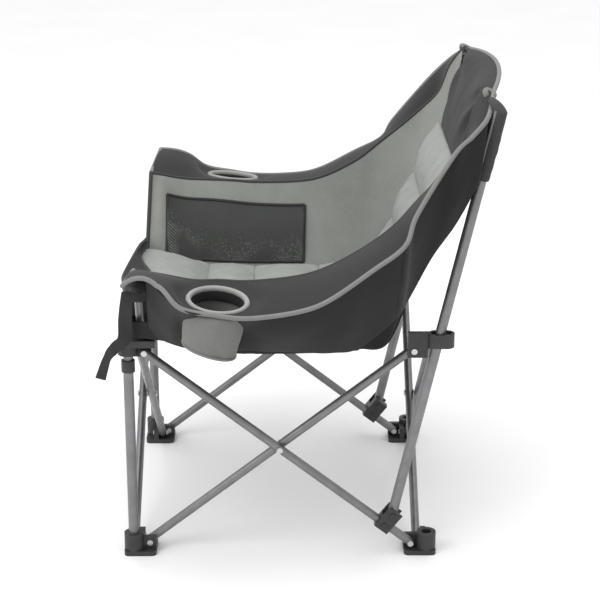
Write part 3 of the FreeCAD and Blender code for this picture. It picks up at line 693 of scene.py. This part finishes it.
def turned(name, profile, sign, material, steps=48):
    """Piece spun from a (radius, height) profile about the cup's axis."""
    bm = bmesh.new()
    verts, edges = chain(bm, [Vector((radius, 0, height)) for radius, height in profile])
    bmesh.ops.spin(bm, geom=verts + edges, cent=(0, 0, 0), axis=(0, 0, 1), angle=2 * math.pi,
                   steps=steps, use_merge=True)
    bmesh.ops.remove_doubles(bm, verts=bm.verts, dist=1e-5)
    turn = upright_along(cup_axis(sign), cup_centre(sign))
    bmesh.ops.transform(bm, matrix=turn, verts=bm.verts)
    bmesh.ops.recalc_face_normals(bm, faces=bm.faces)
    return new_object(name, bm, material)


BAG_BULGE, BAG_TILT, BAG_OUT_RISE = 0.002, 0.20, 0.16
BAG_TAPER, BAG_TOP = 0.12, -0.004
# how far below the ring the dark band of painted shade inside the cup reaches
PAINTED_SHADE_LOW = -0.021
HEM_RADIUS, BAG_STEPS = POUCH_RADIUS * 0.975, 72


def hung_bag(point, sign, slack):
    """A point of the straight bag where the cloth hangs: drawn out, lower at its rear."""
    _, share, away = in_bag(point, sign)
    drift = bag_drift(sign, share)
    away += drift
    outer_share = eased((1 + away.x * sign / POUCH_RADIUS) / 2)
    drawn = point + Vector((drift.x * outer_share, drift.y, 0)) - away * (BAG_TAPER * share)
    if away.length > POUCH_RADIUS / 2:
        drawn += away.normalized() * (share * slack + BAG_BULGE * swell(share))
    drawn.z += share * (BAG_OUT_RISE * away.x * sign - BAG_TILT * away.y)
    return drawn


def cup_holder(side):
    sign = SIDES[side]
    centre, half = (RING_OUTER + RING_INNER) / 2, (RING_OUTER - RING_INNER) / 2
    mid, rise = (RING_TOP + RING_LOW) / 2, (RING_TOP - RING_LOW) / 2
    bead = [(centre + half * math.cos(angle), mid + rise * math.sin(angle))
            for angle in (2 * math.pi * step / 14 for step in range(15))]
    ring = turned(f"cup_ring_bound_{side}", bead, sign, ring_cloth)
    carry(ring, "front", side, f"cup_ring_{side}", slot="binding")
    # Dark cloth band down the inside of the ring: painted shade where the top of the bag's inside
    # lies in shadow
    fall = [(RING_INNER + 0.0015, RING_LOW / 2), (RING_INNER - 0.001, PAINTED_SHADE_LOW)]
    painted_shade_band = thicken(turned(f"cup_collar_{side}", fall, sign, outer_cloth), THIN_CLOTH)
    carry(painted_shade_band, "front", side, slot="dark_cloth")
    low = RING_LOW - POUCH_DEPTH
    wall = [(POUCH_RADIUS * (0.97 + 0.03 * share), low + (POUCH_DEPTH - BAG_TOP) * share)
            for share in shares(14)]
    sole = [(0.0005, low + 0.002), (POUCH_RADIUS * 0.6, low), (POUCH_RADIUS * 0.94, low)]
    bag = turned(f"cup_bag_{side}", sole + wall, sign, pouch_cloth, steps=BAG_STEPS)
    for vert in bag.data.vertices:
        slack = ruffle(Vector((vert.co.x, vert.co.y, vert.co.z * 0.3)), 0.026, 0.0034)
        vert.co = hung_bag(vert.co, sign, slack)
    thicken(bag, WEBBING)
    carry(bag, "front", side, f"cup_pouch_{side}", slot="pouch_cloth")
    turn = cup_axis(sign).to_track_quat("Z", "Y")
    loop = []
    for step in range(BAG_STEPS):
        angle = 2 * math.pi * step / BAG_STEPS
        flat = Vector((HEM_RADIUS * math.cos(angle), HEM_RADIUS * math.sin(angle), low))
        loop.append(hung_bag(cup_centre(sign) + turn @ flat, sign, 0.0))
    hem = trim_along(f"cup_bag_hem_{side}", loop, 0.0024, welt_cloth, closed=True)
    carry(hem, "front", side, slot="binding")


def side_seam(side):
    """Felled seam down the outside, where the arm meets the back."""
    sign = SIDES[side]
    ends = [edge_points(line, sign)[SPLIT_ROW] for line in (RIM, HEM)]
    line = []
    for share in shares(28):
        bulge = side_belly(SPLIT_ROW, share) + CLOTH / 2
        line.append(ends[0].lerp(ends[1], share) + Vector((sign * bulge, 0, 0)))
    seam = trim_along(f"side_seam_{side}", line, 0.0012, outer_cloth)
    carry(seam, "rear", side, slot="binding")


for side_name in SIDES:
    for kind_name in PANELS:
        arm_panel(kind_name, side_name)
    for section_name in SECTIONS:
        arm_welts(section_name, side_name)
    side_seam(side_name)
    cup_holder(side_name)


# Padded strips of the seat and the back, each a stuffed tube of cloth sewn along its edges

SEAT_ROWS = [0, 2, 4, 6, 7]
SEAT_PATH = [(ARM_ROWS[row][SEAM][1], ARM_ROWS[row][SEAM][2] + 0.0005) for row in SEAT_ROWS]
SEAT_HALF = 0.236
SEAT_FRONT_HALF = 0.216
# distances from the middle, and how far the padding's front edge lies behind its corners there
FRONT_EDGE = [(0.0, 0.028), (0.06, 0.016), (0.12, -0.002), (0.17, -0.010), (0.236, 0.0)]
PAD_THICKNESS, PAD_EDGE = 0.026, 0.012
PAD_SEGMENTS = (56, 14, 4)
PAD_ROUNDNESS, PAD_SQUARENESS = 2.6, 9
STUFFING_FRAMES = 20
STUFFING_PRESSURE = 4.0
STUFFING_REACH = 0.006


def stuff(piece, held):
    """Swells a sewn cloth tube by simulated pressure; held vertices stay."""
    rest = [vert.co.copy() for vert in piece.data.vertices]
    group = piece.vertex_groups.new(name="sewn")
    group.add(held, 1.0, "REPLACE")
    cloth = piece.modifiers.new("stuffing", "CLOTH")
    settings = cloth.settings
    settings.quality = 6
    settings.mass = 0.25
    settings.tension_stiffness = settings.compression_stiffness = 12.0
    settings.bending_stiffness = 0.4
    settings.shrink_min = -0.03
    settings.use_pressure = True
    settings.uniform_pressure_force = STUFFING_PRESSURE
    settings.vertex_group_mass = "sewn"
    settings.effector_weights.gravity = 0.0
    cloth.point_cache.frame_start = 1
    cloth.point_cache.frame_end = STUFFING_FRAMES
    for step in range(1, STUFFING_FRAMES + 1):
        bpy.context.scene.frame_set(step)
    settle(piece)
    bpy.context.scene.frame_set(1)
    piece.vertex_groups.clear()
    for vert, start in zip(piece.data.vertices, rest):
        moved = vert.co - start
        if moved.length > STUFFING_REACH:
            vert.co = start + moved.normalized() * STUFFING_REACH


def strip_point(near, far, near_half, far_half, across, along):
    """Point on the cloth under a strip: across from -1 to 1, along from 0 to 1."""
    half = near_half + (far_half - near_half) * along
    return Vector((across * half, near[0] + (far[0] - near[0]) * along + FRAME_Y,
                   near[1] + (far[1] - near[1]) * along))


def strip_up(near, far):
    """Way that a strip between two (y, z) seams faces."""
    return Vector((0, near[1] - far[1], far[0] - near[0])).normalized()


def point_beside(table, x):
    """Point on a smooth line through a table's points, at a distance from the chair's middle."""
    start = max(index for index, row in enumerate(table[:-1]) if row[0] <= abs(x))
    low, high = table[start][0], table[start + 1][0]
    share = min((abs(x) - low) / (high - low), 1.0)
    return smooth_point([Vector(row).to_3d() for row in table], start + share)


def front_edge(x):
    """Set-back of the seat's front edge at a distance from the middle."""
    return point_beside(FRONT_EDGE, x).y


def no_edge(x):
    return 0.0


def pad_strip(name, near, far, halves, set_back=no_edge):
    """Stuffed strip across the chair between two (y, z) seams."""
    bm = bmesh.new()
    bmesh.ops.create_cube(bm, size=1.0)
    for axis, cuts in enumerate(PAD_SEGMENTS):
        edges = [edge for edge in bm.edges
                 if abs(abs(edge.verts[0].co[axis] - edge.verts[1].co[axis]) - 1.0) < 1e-6]
        bmesh.ops.subdivide_edges(bm, edges=edges, cuts=cuts - 1, use_grid_fill=True)
    up = strip_up(near, far)
    held = []
    for index, vert in enumerate(bm.verts):
        across, along, rise = vert.co.x * 2, vert.co.y + 0.5, vert.co.z + 0.5
        crown = (1 - abs(2 * along - 1) ** PAD_ROUNDNESS) * (1 - abs(across) ** PAD_SQUARENESS)
        height = PAD_EDGE + (PAD_THICKNESS - STUFFING_REACH * 0.7 - PAD_EDGE) * crown
        if rise < 0.01 or crown < 0.02:
            held.append(index)
        vert.co = strip_point(near, far, *halves, across, along) + up * (rise * height)
        vert.co.y += set_back(vert.co.x) * (1 - along)
    bmesh.ops.recalc_face_normals(bm, faces=bm.faces)
    piece = new_object(name, bm, pad_cloth)
    stuff(piece, held)
    return rounded(piece)


SLING_DROP, SLING_EDGE = 0.0045, 0.010


def strip_sheet(name, near, far, halves):
    """Backing cloth under a strip."""
    lines = [[(0.0, strip_point(near, far, *halves, across, along))
              for across in (step / 12 - 1 for step in range(25))] for along in (0.0, 1.0)]
    bm, _, _ = sheet_between(*lines, 6)
    up = strip_up(near, far)
    for vert in bm.verts:
        vert.co -= up * SLING_DROP
    return sewn(name, bm, outer_cloth, STOUT_CLOTH)


# the body that carries each strip of the seat
SEAT_CARRIERS = ["front_hub_right", "seat", "side_tube_up_right", "side_tube_up_right"]


def seat():
    for place, body in enumerate(SEAT_CARRIERS):
        near, far = SEAT_PATH[place], SEAT_PATH[place + 1]
        halves = (SEAT_HALF if place else SEAT_FRONT_HALF, SEAT_HALF)
        set_back = no_edge if place else front_edge
        pad = pad_strip(f"seat_strip_{place + 1}", near, far, halves, set_back)
        carry_seat(pad, body, "seat_cushion", slot="pad")
        wider = [half + SLING_EDGE for half in halves]
        sling, area = strip_sheet(f"seat_sling_{place + 1}", near, far, wider)
        carry_seat(sling, body, "seat_sling", slot="dark_cloth")


# Back: pads, dark head panel and the cloth behind them, in halves that close with the uprights

ARCH_HEIGHT = 0.085


def arched(point):
    """A point moved by the top edge's bow, fullest in the middle and dying away down the back."""
    up = eased((point.z - TOP_EDGE[2] + ARCH_HEIGHT) / ARCH_HEIGHT)
    share = up * max(0.0, 1 - (point.x / TOP_EDGE[0]) ** 2)
    return point + Vector((0, TOP_BACK, TOP_RISE)) * share


BACK_ROWS = [8, 9, 10, 11]
BACK_INSET = 0.010


def seam_at(row):
    x, y, z = ARM_ROWS[row][SEAM]
    return x, (y, z)


def back_rows(first):
    """Half widths and (y, z) seams of the back, from a row to its top edge."""
    return [seam_at(row) for row in range(first, LAST_ROW + 1)] + [(TOP_EDGE[0], TOP_EDGE[1:])]


BACK_FIRST, HEAD_FIRST = 7, 11
BACK_BEHIND = 0.003


def back():
    for place, (lower, upper) in enumerate(zip(BACK_ROWS, BACK_ROWS[1:]), start=1):
        near_x, near = seam_at(lower)
        far_x, far = seam_at(upper)
        pad = pad_strip(f"back_strip_{place}", near, far, (near_x - BACK_INSET, far_x - BACK_INSET))
        for half in carry_back(pad, "back_cushion", slot="pad"):
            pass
    lines = []
    for sign in (-1, 1):
        points = [Vector((sign * (x - 0.001), y + FRAME_Y + BACK_BEHIND, z))
                  for x, (y, z) in back_rows(BACK_FIRST)]
        lines.append(line_through(points, 0, len(points) - 1))
    bm, _, over = sheet_between(*lines, 32)
    for vert in bm.verts:
        vert.co.y += 0.0015 * swell(vert[over]) + ruffle(vert.co, 0.09, 0.0012)
        vert.co = arched(vert.co)
    panel, area = sewn("back_cloth", bm, outer_cloth, STOUT_CLOTH)
    for half in carry_back(panel, "back_panel", slot="dark_cloth"):
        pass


HEAD_THICKNESS = 0.016
GATHER, GATHER_FOLDS, GATHER_REACH = 0.008, 11, 0.12


def headrest():
    points = [Vector((x, y + FRAME_Y, z)) for x, (y, z) in back_rows(HEAD_FIRST)]
    count = (len(points) - 1) * ROW_STEPS * 2
    line = [smooth_point(points, step * (len(points) - 1) / count) for step in range(count + 1)]
    lines = [[(step / count, Vector((sign * (point.x - 0.004), point.y, point.z)))
              for step, point in enumerate(line)] for sign in (-1, 1)]
    bm, along, over = sheet_between(*lines, 64)
    corner = Vector((TOP_EDGE[0], 0, TOP_EDGE[2]))
    for vert in bm.verts:
        side = 2 * vert[over] - 1
        crown = (1 - side ** 8) * swell(min(1.0, 0.06 + 0.94 * vert[along])) ** 0.6
        reach = Vector((abs(vert.co.x) - corner.x, 0, vert.co.z - corner.z))
        fan = math.atan2(-reach.z, -reach.x)
        gather = GATHER * math.sin(fan * GATHER_FOLDS) * bell(reach.length, 0, GATHER_REACH) * crown
        forward = HEAD_THICKNESS * crown + gather + ruffle(vert.co, 0.05, 0.0010) * crown
        vert.co = arched(vert.co) - Vector((0, forward, 0))
    panel, _ = sewn("head_panel", bm, arm_top_cloth, CLOTH)
    for half in carry_back(panel, "headrest_panel", slot="dark_cloth"):
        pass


seat()
back()
headrest()


# Net pocket sewn on the inner panel of the left arm

POCKET_ROWS = (0.55, 5.3)
POCKET_LOW = (0.08, 0.08)
POCKET_HIGH = (0.77, 0.72)
POCKET_LIFT, POCKET_MOUTH, POCKET_BELLY = 0.0032, 0.010, 0.006
POCKET_STEPS = 40


def inner_point(place, share, sign, lift):
    """Point on the seat side of an inner panel."""
    seam = smooth_point(edge_points(SEAM, sign), place)
    top = smooth_point(edge_points(PIPING, sign), place)
    up = top - seam
    towards_seat = Vector((-up.z * sign, 0, up.x * sign)).normalized()
    outward = Vector((sign, 0, INNER_SLOPE))
    return seam + up * share + outward * inner_belly(place, share) + towards_seat * lift


def net_pocket(side="left"):
    sign = SIDES[side]
    first, last = POCKET_ROWS
    lines = []
    for (front, rear), mouth in ((POCKET_LOW, 0.0), (POCKET_HIGH, POCKET_MOUTH)):
        line = []
        for way in shares(POCKET_STEPS):
            place = first + (last - first) * way
            lift = POCKET_LIFT + mouth * swell(way)
            line.append((place, inner_point(place, front + (rear - front) * way, sign, lift)))
        lines.append(line)
    bm, _, over = sheet_between(*lines, 20)
    for vert in bm.verts:
        fade = swell(vert[over])
        vert.co.x -= sign * fade * (POCKET_BELLY + ruffle(vert.co, 0.05, 0.0012))
    pocket, area = sewn("net_pocket", bm, net, 0.0012)
    carry(pocket, "front", side, "mesh_pocket", slot="mesh")
    low, high = map(points_of, lines)
    ends = [edge_run(low[0], high[0], 8), edge_run(low[-1], high[-1], 8)]
    for number, points in enumerate([low, high, *ends], start=1):
        trim = trim_along(f"net_binding_{number}", points, 0.0034, webbing_cloth)
        carry(trim, "front", side, slot="dark_cloth")


# Pocket and cap on each arm post, and the strap that hangs from one arm's front

POST_RADIUS, POST_LEAN = 0.008, math.radians(20.0)
COVER_GAP = 0.0036


def post_line(side):
    """Foot and head of an arm post's axis."""
    low, high = (Vector(corner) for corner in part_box(f"arm_post_{side}"))
    sign = SIDES[side]
    y = (low.y + high.y) / 2
    aside, above = sign * POST_RADIUS * math.cos(POST_LEAN), POST_RADIUS * math.sin(POST_LEAN)
    foot = Vector(((low.x if sign > 0 else high.x) + aside, y, low.z + above))
    head = Vector(((high.x if sign > 0 else low.x) - aside, y, high.z - above))
    return foot, head


def straight_tube(share):
    return 1.0, Vector((0, 0, 0))


def wrap_round(name, start, finish, radius, material, rows=10, form=straight_tube):
    """Slack cloth tube, closed at its finish; its form gives a width and a shift up its length."""
    bm = bmesh.new()
    run = finish - start
    axis = run.normalized()
    bmesh.ops.create_cone(bm, cap_ends=True, segments=28, radius1=radius, radius2=radius,
                          depth=run.length, matrix=upright_along(run, (start + finish) / 2))
    bottom = [face for face in bm.faces
              if len(face.verts) > 4 and (face.calc_center_median() - start).length < 1e-4]
    bmesh.ops.delete(bm, geom=bottom, context="FACES_ONLY")
    ribs = [edge for edge in bm.edges
            if abs((edge.verts[1].co - edge.verts[0].co).dot(axis)) > 1e-4]
    bmesh.ops.subdivide_edges(bm, edges=ribs, cuts=rows, use_grid_fill=True)
    for vert in bm.verts:
        away = vert.co - start
        height = away.dot(axis)
        away -= axis * height
        width, drift = form(height / run.length)
        slack = abs(ruffle(vert.co, 0.018, 0.0020))
        vert.co = start + axis * height + away * width + drift
        if away.length > 1e-6:
            vert.co += away.normalized() * slack
    return sewn(name, bm, material, THIN_CLOTH)[0]


# the pocket's path round the post from the side panel, as (x, y) from the frame's middle, and its
# two heights, with how far it spreads at each
POCKET_WRAP = [(0.338, -0.168), (0.319, -0.205), (0.304, -0.240), (0.294, -0.262),
               (0.280, -0.267), (0.266, -0.259), (0.261, -0.240)]
WRAP_HEIGHTS = [(0.440, 1.0), (0.476, 1.03)]
WRAP_DIP, WRAP_DIP_PLACE = 0.006, 3.4


def ride_post(piece, side):
    hang(piece, f"front_hub_{side}", f"post_cover_{side}", slot="dark_cloth")


def post_pocket(side):
    """Band of the side panel that is carried round the post's foot."""
    sign = SIDES[side]
    lines = []
    for height, spread in WRAP_HEIGHTS:
        points = [on_frame((x * spread, y, height), sign) for x, y in POCKET_WRAP]
        lines.append(line_through(points, 0, len(points) - 1))
    bm, along, over = sheet_between(*lines, 10)
    for vert in bm.verts:
        vert.co += Vector((sign, 0, 0)) * ruffle(vert.co, 0.03, 0.0016) * vert[over]
        vert.co.z -= WRAP_DIP * vert[over] * bell(vert[along], WRAP_DIP_PLACE, 1.0)
    piece, area = sewn(f"post_pocket_{side}", bm, outer_cloth, WEBBING)
    ride_post(piece, side)


def hang_ribbon(name, side, points, widths, normals):
    """Webbing along points, hung on a post; each width lies across its normal and its run."""
    lines = [[], []]
    final = len(points) - 1
    for place, here in line_through(points, 0, final):
        ahead = smooth_point(points, min(place + 0.05, final))
        run = ahead - smooth_point(points, max(place - 0.05, 0))
        start = min(int(place), final - 1)
        way = place - start
        normal = normals[start].lerp(normals[start + 1], way)
        width = widths[start] + (widths[start + 1] - widths[start]) * way
        half = run.cross(normal).normalized() * width / 2
        lines[0].append((place, here - half))
        lines[1].append((place, here + half))
    bm, _, _ = sheet_between(*lines, 6)
    for vert in bm.verts:
        vert.co += ruffle(vert.co, 0.02, 0.0012) * Vector((1, 0, 0))
    piece, area = sewn(name, bm, webbing_cloth, WEBBING)
    ride_post(piece, side)


# the folded webbing from a post's head, and the strap from its root in front of the head
CAP_LOOP = [(0.000, -0.020, -0.002), (0.014, -0.018, 0.006), (0.024, -0.004, 0.009),
            (0.026, 0.014, 0.004), (0.024, 0.022, -0.006), (0.026, 0.010, -0.014),
            (0.026, -0.008, -0.014)]
CAP_WIDTH = 0.016
CAP_DOWN, CAP_UP = 0.024, 0.004
STRAP_FALL = [(0.006, 0.006, -0.006), (0.004, 0.000, -0.055), (0.002, -0.003, -0.096),
              (-0.002, -0.022, -0.116), (-0.006, -0.036, -0.136), (-0.010, -0.050, -0.178)]
STRAP_WIDTHS = [0.022, 0.026, 0.026, 0.022, 0.016, 0.020]
STRAP_TURNS = [(1, 0.2, 0), (1, -0.2, 0), (0.9, 0.4, 0.2), (0.6, 0.6, 0.5), (0.9, -0.3, 0.3),
               (1, 0.1, 0)]
STRAP_ROOT = Vector((0, -POST_RADIUS - COVER_GAP - 0.012, -0.004))


def post_cap(side):
    """Webbing folded over the post's head."""
    sign = SIDES[side]
    foot, head = post_line(side)
    up = (head - foot).normalized()
    cap = wrap_round(f"post_cap_{side}", head - up * CAP_DOWN, head + up * CAP_UP,
                     POST_RADIUS + COVER_GAP, webbing_cloth)
    ride_post(cap, side)
    points = [head + Vector((x * sign, y, z)) for x, y, z in CAP_LOOP]
    normals = [Vector((sign * 0.5, 0, 0.85))] * 3 + [Vector((sign * 0.8, 0.3, 0.4))] * 4
    hang_ribbon(f"post_cap_loop_{side}", side, points, [CAP_WIDTH] * len(points), normals)


def strap(side="right"):
    root = post_line(side)[1] + STRAP_ROOT
    points = [root + Vector(step) for step in STRAP_FALL]
    hang_ribbon("hanging_strap", side, points, STRAP_WIDTHS, [Vector(way) for way in STRAP_TURNS])


# Sleeves over the tops of the uprights, and the seat's front band

UPRIGHT_LEAN = math.radians(12.7)
SLEEVE_LENGTH = 0.128
SLEEVE_REACH = 0.018
SLEEVE_TURN = 0.86
SLEEVE_RADIUS, SLEEVE_FULLNESS, TAPE_RADIUS = 0.0124, 0.06, 0.0022
SLEEVE_BEND, TAPE_PLACE = (-0.020, -0.016), (0.0105, -0.0085)


def sleeve(side):
    sign = SIDES[side]
    low, high = (Vector(corner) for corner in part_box(f"upright_sleeve_{side}"))
    axis = Vector((0, math.sin(UPRIGHT_LEAN), math.cos(UPRIGHT_LEAN)))
    centre = (low + high) / 2
    start = centre - axis * SLEEVE_LENGTH / 2
    finish = centre + axis * (SLEEVE_LENGTH / 2 + SLEEVE_REACH)

    def form(share):
        past = max(0.0, share - SLEEVE_TURN) / (1 - SLEEVE_TURN)
        closing = math.sqrt(max(0.03, 1 - max(0.0, (past - 0.35) / 0.65) ** 2))
        width = (1 + SLEEVE_FULLNESS * swell(share)) * closing
        return width, Vector((sign * SLEEVE_BEND[0], SLEEVE_BEND[1], 0)) * past

    piece = wrap_round(f"sleeve_{side}", start, finish, SLEEVE_RADIUS, sleeve_cloth, 28, form)
    hang(piece, f"upright_{side}", f"upright_sleeve_{side}", slot="dark_cloth")
    beside = Vector((sign * TAPE_PLACE[0], TAPE_PLACE[1], 0))
    edge = [start + axis * (SLEEVE_LENGTH * step / 16) + beside * form(step / 20)[0]
            for step in range(17)]
    tape = trim_along(f"sleeve_tape_{side}", edge, TAPE_RADIUS, welt_cloth)
    hang(tape, f"upright_{side}", slot="binding")


# the front border's outer edge, as (x, y, z) from the middle to a corner
BORDER_EDGE = [(0.0, -0.307, 0.458), (0.100, -0.296, 0.466), (0.170, -0.287, 0.470),
               (0.227, -0.279, 0.466)]
BORDER_HALF, BORDER_RISE = BORDER_EDGE[-1][0], 0.0125
BORDER_STEPS = 48


def front_band():
    """Dark border along the front of the seat, between the padding's welt and the binding."""
    outer, inner = [], []
    y, z = SEAT_PATH[0]
    for step in range(-BORDER_STEPS, BORDER_STEPS + 1):
        x = BORDER_HALF * step / BORDER_STEPS
        ahead = point_beside(BORDER_EDGE, x)
        outer.append((0.0, on_frame((x, ahead.y, ahead.z))))
        behind = front_edge(x * SEAT_HALF / BORDER_HALF)
        inner.append((0.0, on_frame((x, y + behind, z + BORDER_RISE))))
    bm, _, over = sheet_between(inner, outer, 8)
    for vert in bm.verts:
        vert.co.z += 0.004 * swell(vert[over]) + ruffle(vert.co, 0.04, 0.001)
    band, area = sewn("seat_front_band", bm, arm_top_cloth, CLOTH)
    carry_seat(band, SEAT_CARRIERS[0], slot="dark_cloth")
    welts = (("seat_front_welt", inner, WELT), ("seat_front_binding", outer, THIN_WELT))
    for name, line, radius in welts:
        welt = trim_along(name, points_of(line), radius, dark_welt_cloth)
        carry_seat(welt, SEAT_CARRIERS[0], slot="binding")


KNOT = [(0.003, -0.010, -0.013), (0.007, -0.013, -0.003), (0.002, -0.014, 0.004),
        (-0.005, -0.009, 0.004), (-0.003, -0.002, 0.000), (0.003, 0.001, -0.003),
        (0.004, -0.004, -0.008)]
KNOT_RADIUS = 0.0052


def top_welt():
    """Binding over the top of the back, gathered into a knot at each corner."""
    for side, sign in SIDES.items():
        corner = on_frame(ARM_ROWS[LAST_ROW][RIM], sign)
        line = [corner]
        for step in range(1, 25):
            x = TOP_EDGE[0] * (1 - step / 24)
            line.append(arched(on_frame((x, *TOP_EDGE[1:]), sign)))
        knot = [corner + Vector((x * sign, y, z)) for x, y, z in KNOT]
        tangle = [smooth_point(knot, step / 6) for step in range(6 * (len(knot) - 1) + 1)]
        trims = (("top_welt", line, WELT), ("corner_knot", tangle, KNOT_RADIUS))
        for name, points, radius in trims:
            piece = trim_along(f"{name}_{side}", points, radius, welt_cloth)
            carry_half(piece, side, slot="binding")


net_pocket()
for side_name in SIDES:
    post_pocket(side_name)
    post_cap(side_name)
    sleeve(side_name)
strap()
front_band()
top_welt()


# Floor, light and the photograph's camera

FLOOR_HALF = 9.0


def stage():
    bm = bmesh.new()
    bmesh.ops.create_grid(bm, x_segments=1, y_segments=1, size=FLOOR_HALF)
    floor_paint, tree, surface, place = shader("pale_floor", 0.9)
    dye(tree, surface, noise_value(tree, place, 3.0), [(0.3, grey(0.93)), (0.7, grey(0.95))])
    new_object("floor", bm, floor_paint, smooth=False)


def light(name, place, aim, size, power):
    lamp = bpy.data.lights.new(name, "AREA")
    lamp.shape = "DISK"
    lamp.size = size
    lamp.energy = power
    made = placed(name, lamp)
    made.location = place
    made.rotation_euler = (Vector(aim) - Vector(place)).to_track_quat("-Z", "Y").to_euler()


def studio():
    world = bpy.data.worlds.new("white_room")
    world.use_nodes = True
    sky = world.node_tree.nodes["Background"]
    sky.inputs["Color"].default_value = (1, 1, 1, 1)
    sky.inputs["Strength"].default_value = 1.0
    bpy.context.scene.world = world
    light("key", (1.6, -1.8, 2.6), (0, 0, 0.5), 2.2, 40)
    light("overhead", (0.0, 0.2, 3.2), (0, 0, 0.4), 2.6, 40)
    bpy.context.scene.view_settings.view_transform = "Standard"


VIEW_AZIMUTH, VIEW_ELEVATION = math.radians(89.666), math.radians(18.917)
VIEW_DISTANCE = 3.362
VIEW_TARGET = Vector((0, 0.039 + FRAME_Y, 0.408))
VIEW_LENS, SENSOR_WIDTH = 102.66, 36.0


def photograph_camera():
    lens = bpy.data.cameras.new("camera")
    lens.lens = VIEW_LENS
    lens.sensor_width = SENSOR_WIDTH
    back = Vector((math.sin(VIEW_AZIMUTH) * math.cos(VIEW_ELEVATION),
                   -math.cos(VIEW_AZIMUTH) * math.cos(VIEW_ELEVATION), math.sin(VIEW_ELEVATION)))
    made = placed("camera", lens)
    made.location = VIEW_TARGET + back * VIEW_DISTANCE
    made.rotation_euler = back.to_track_quat("Z", "Y").to_euler()
    bpy.context.scene.camera = made


stage()
studio()
photograph_camera()
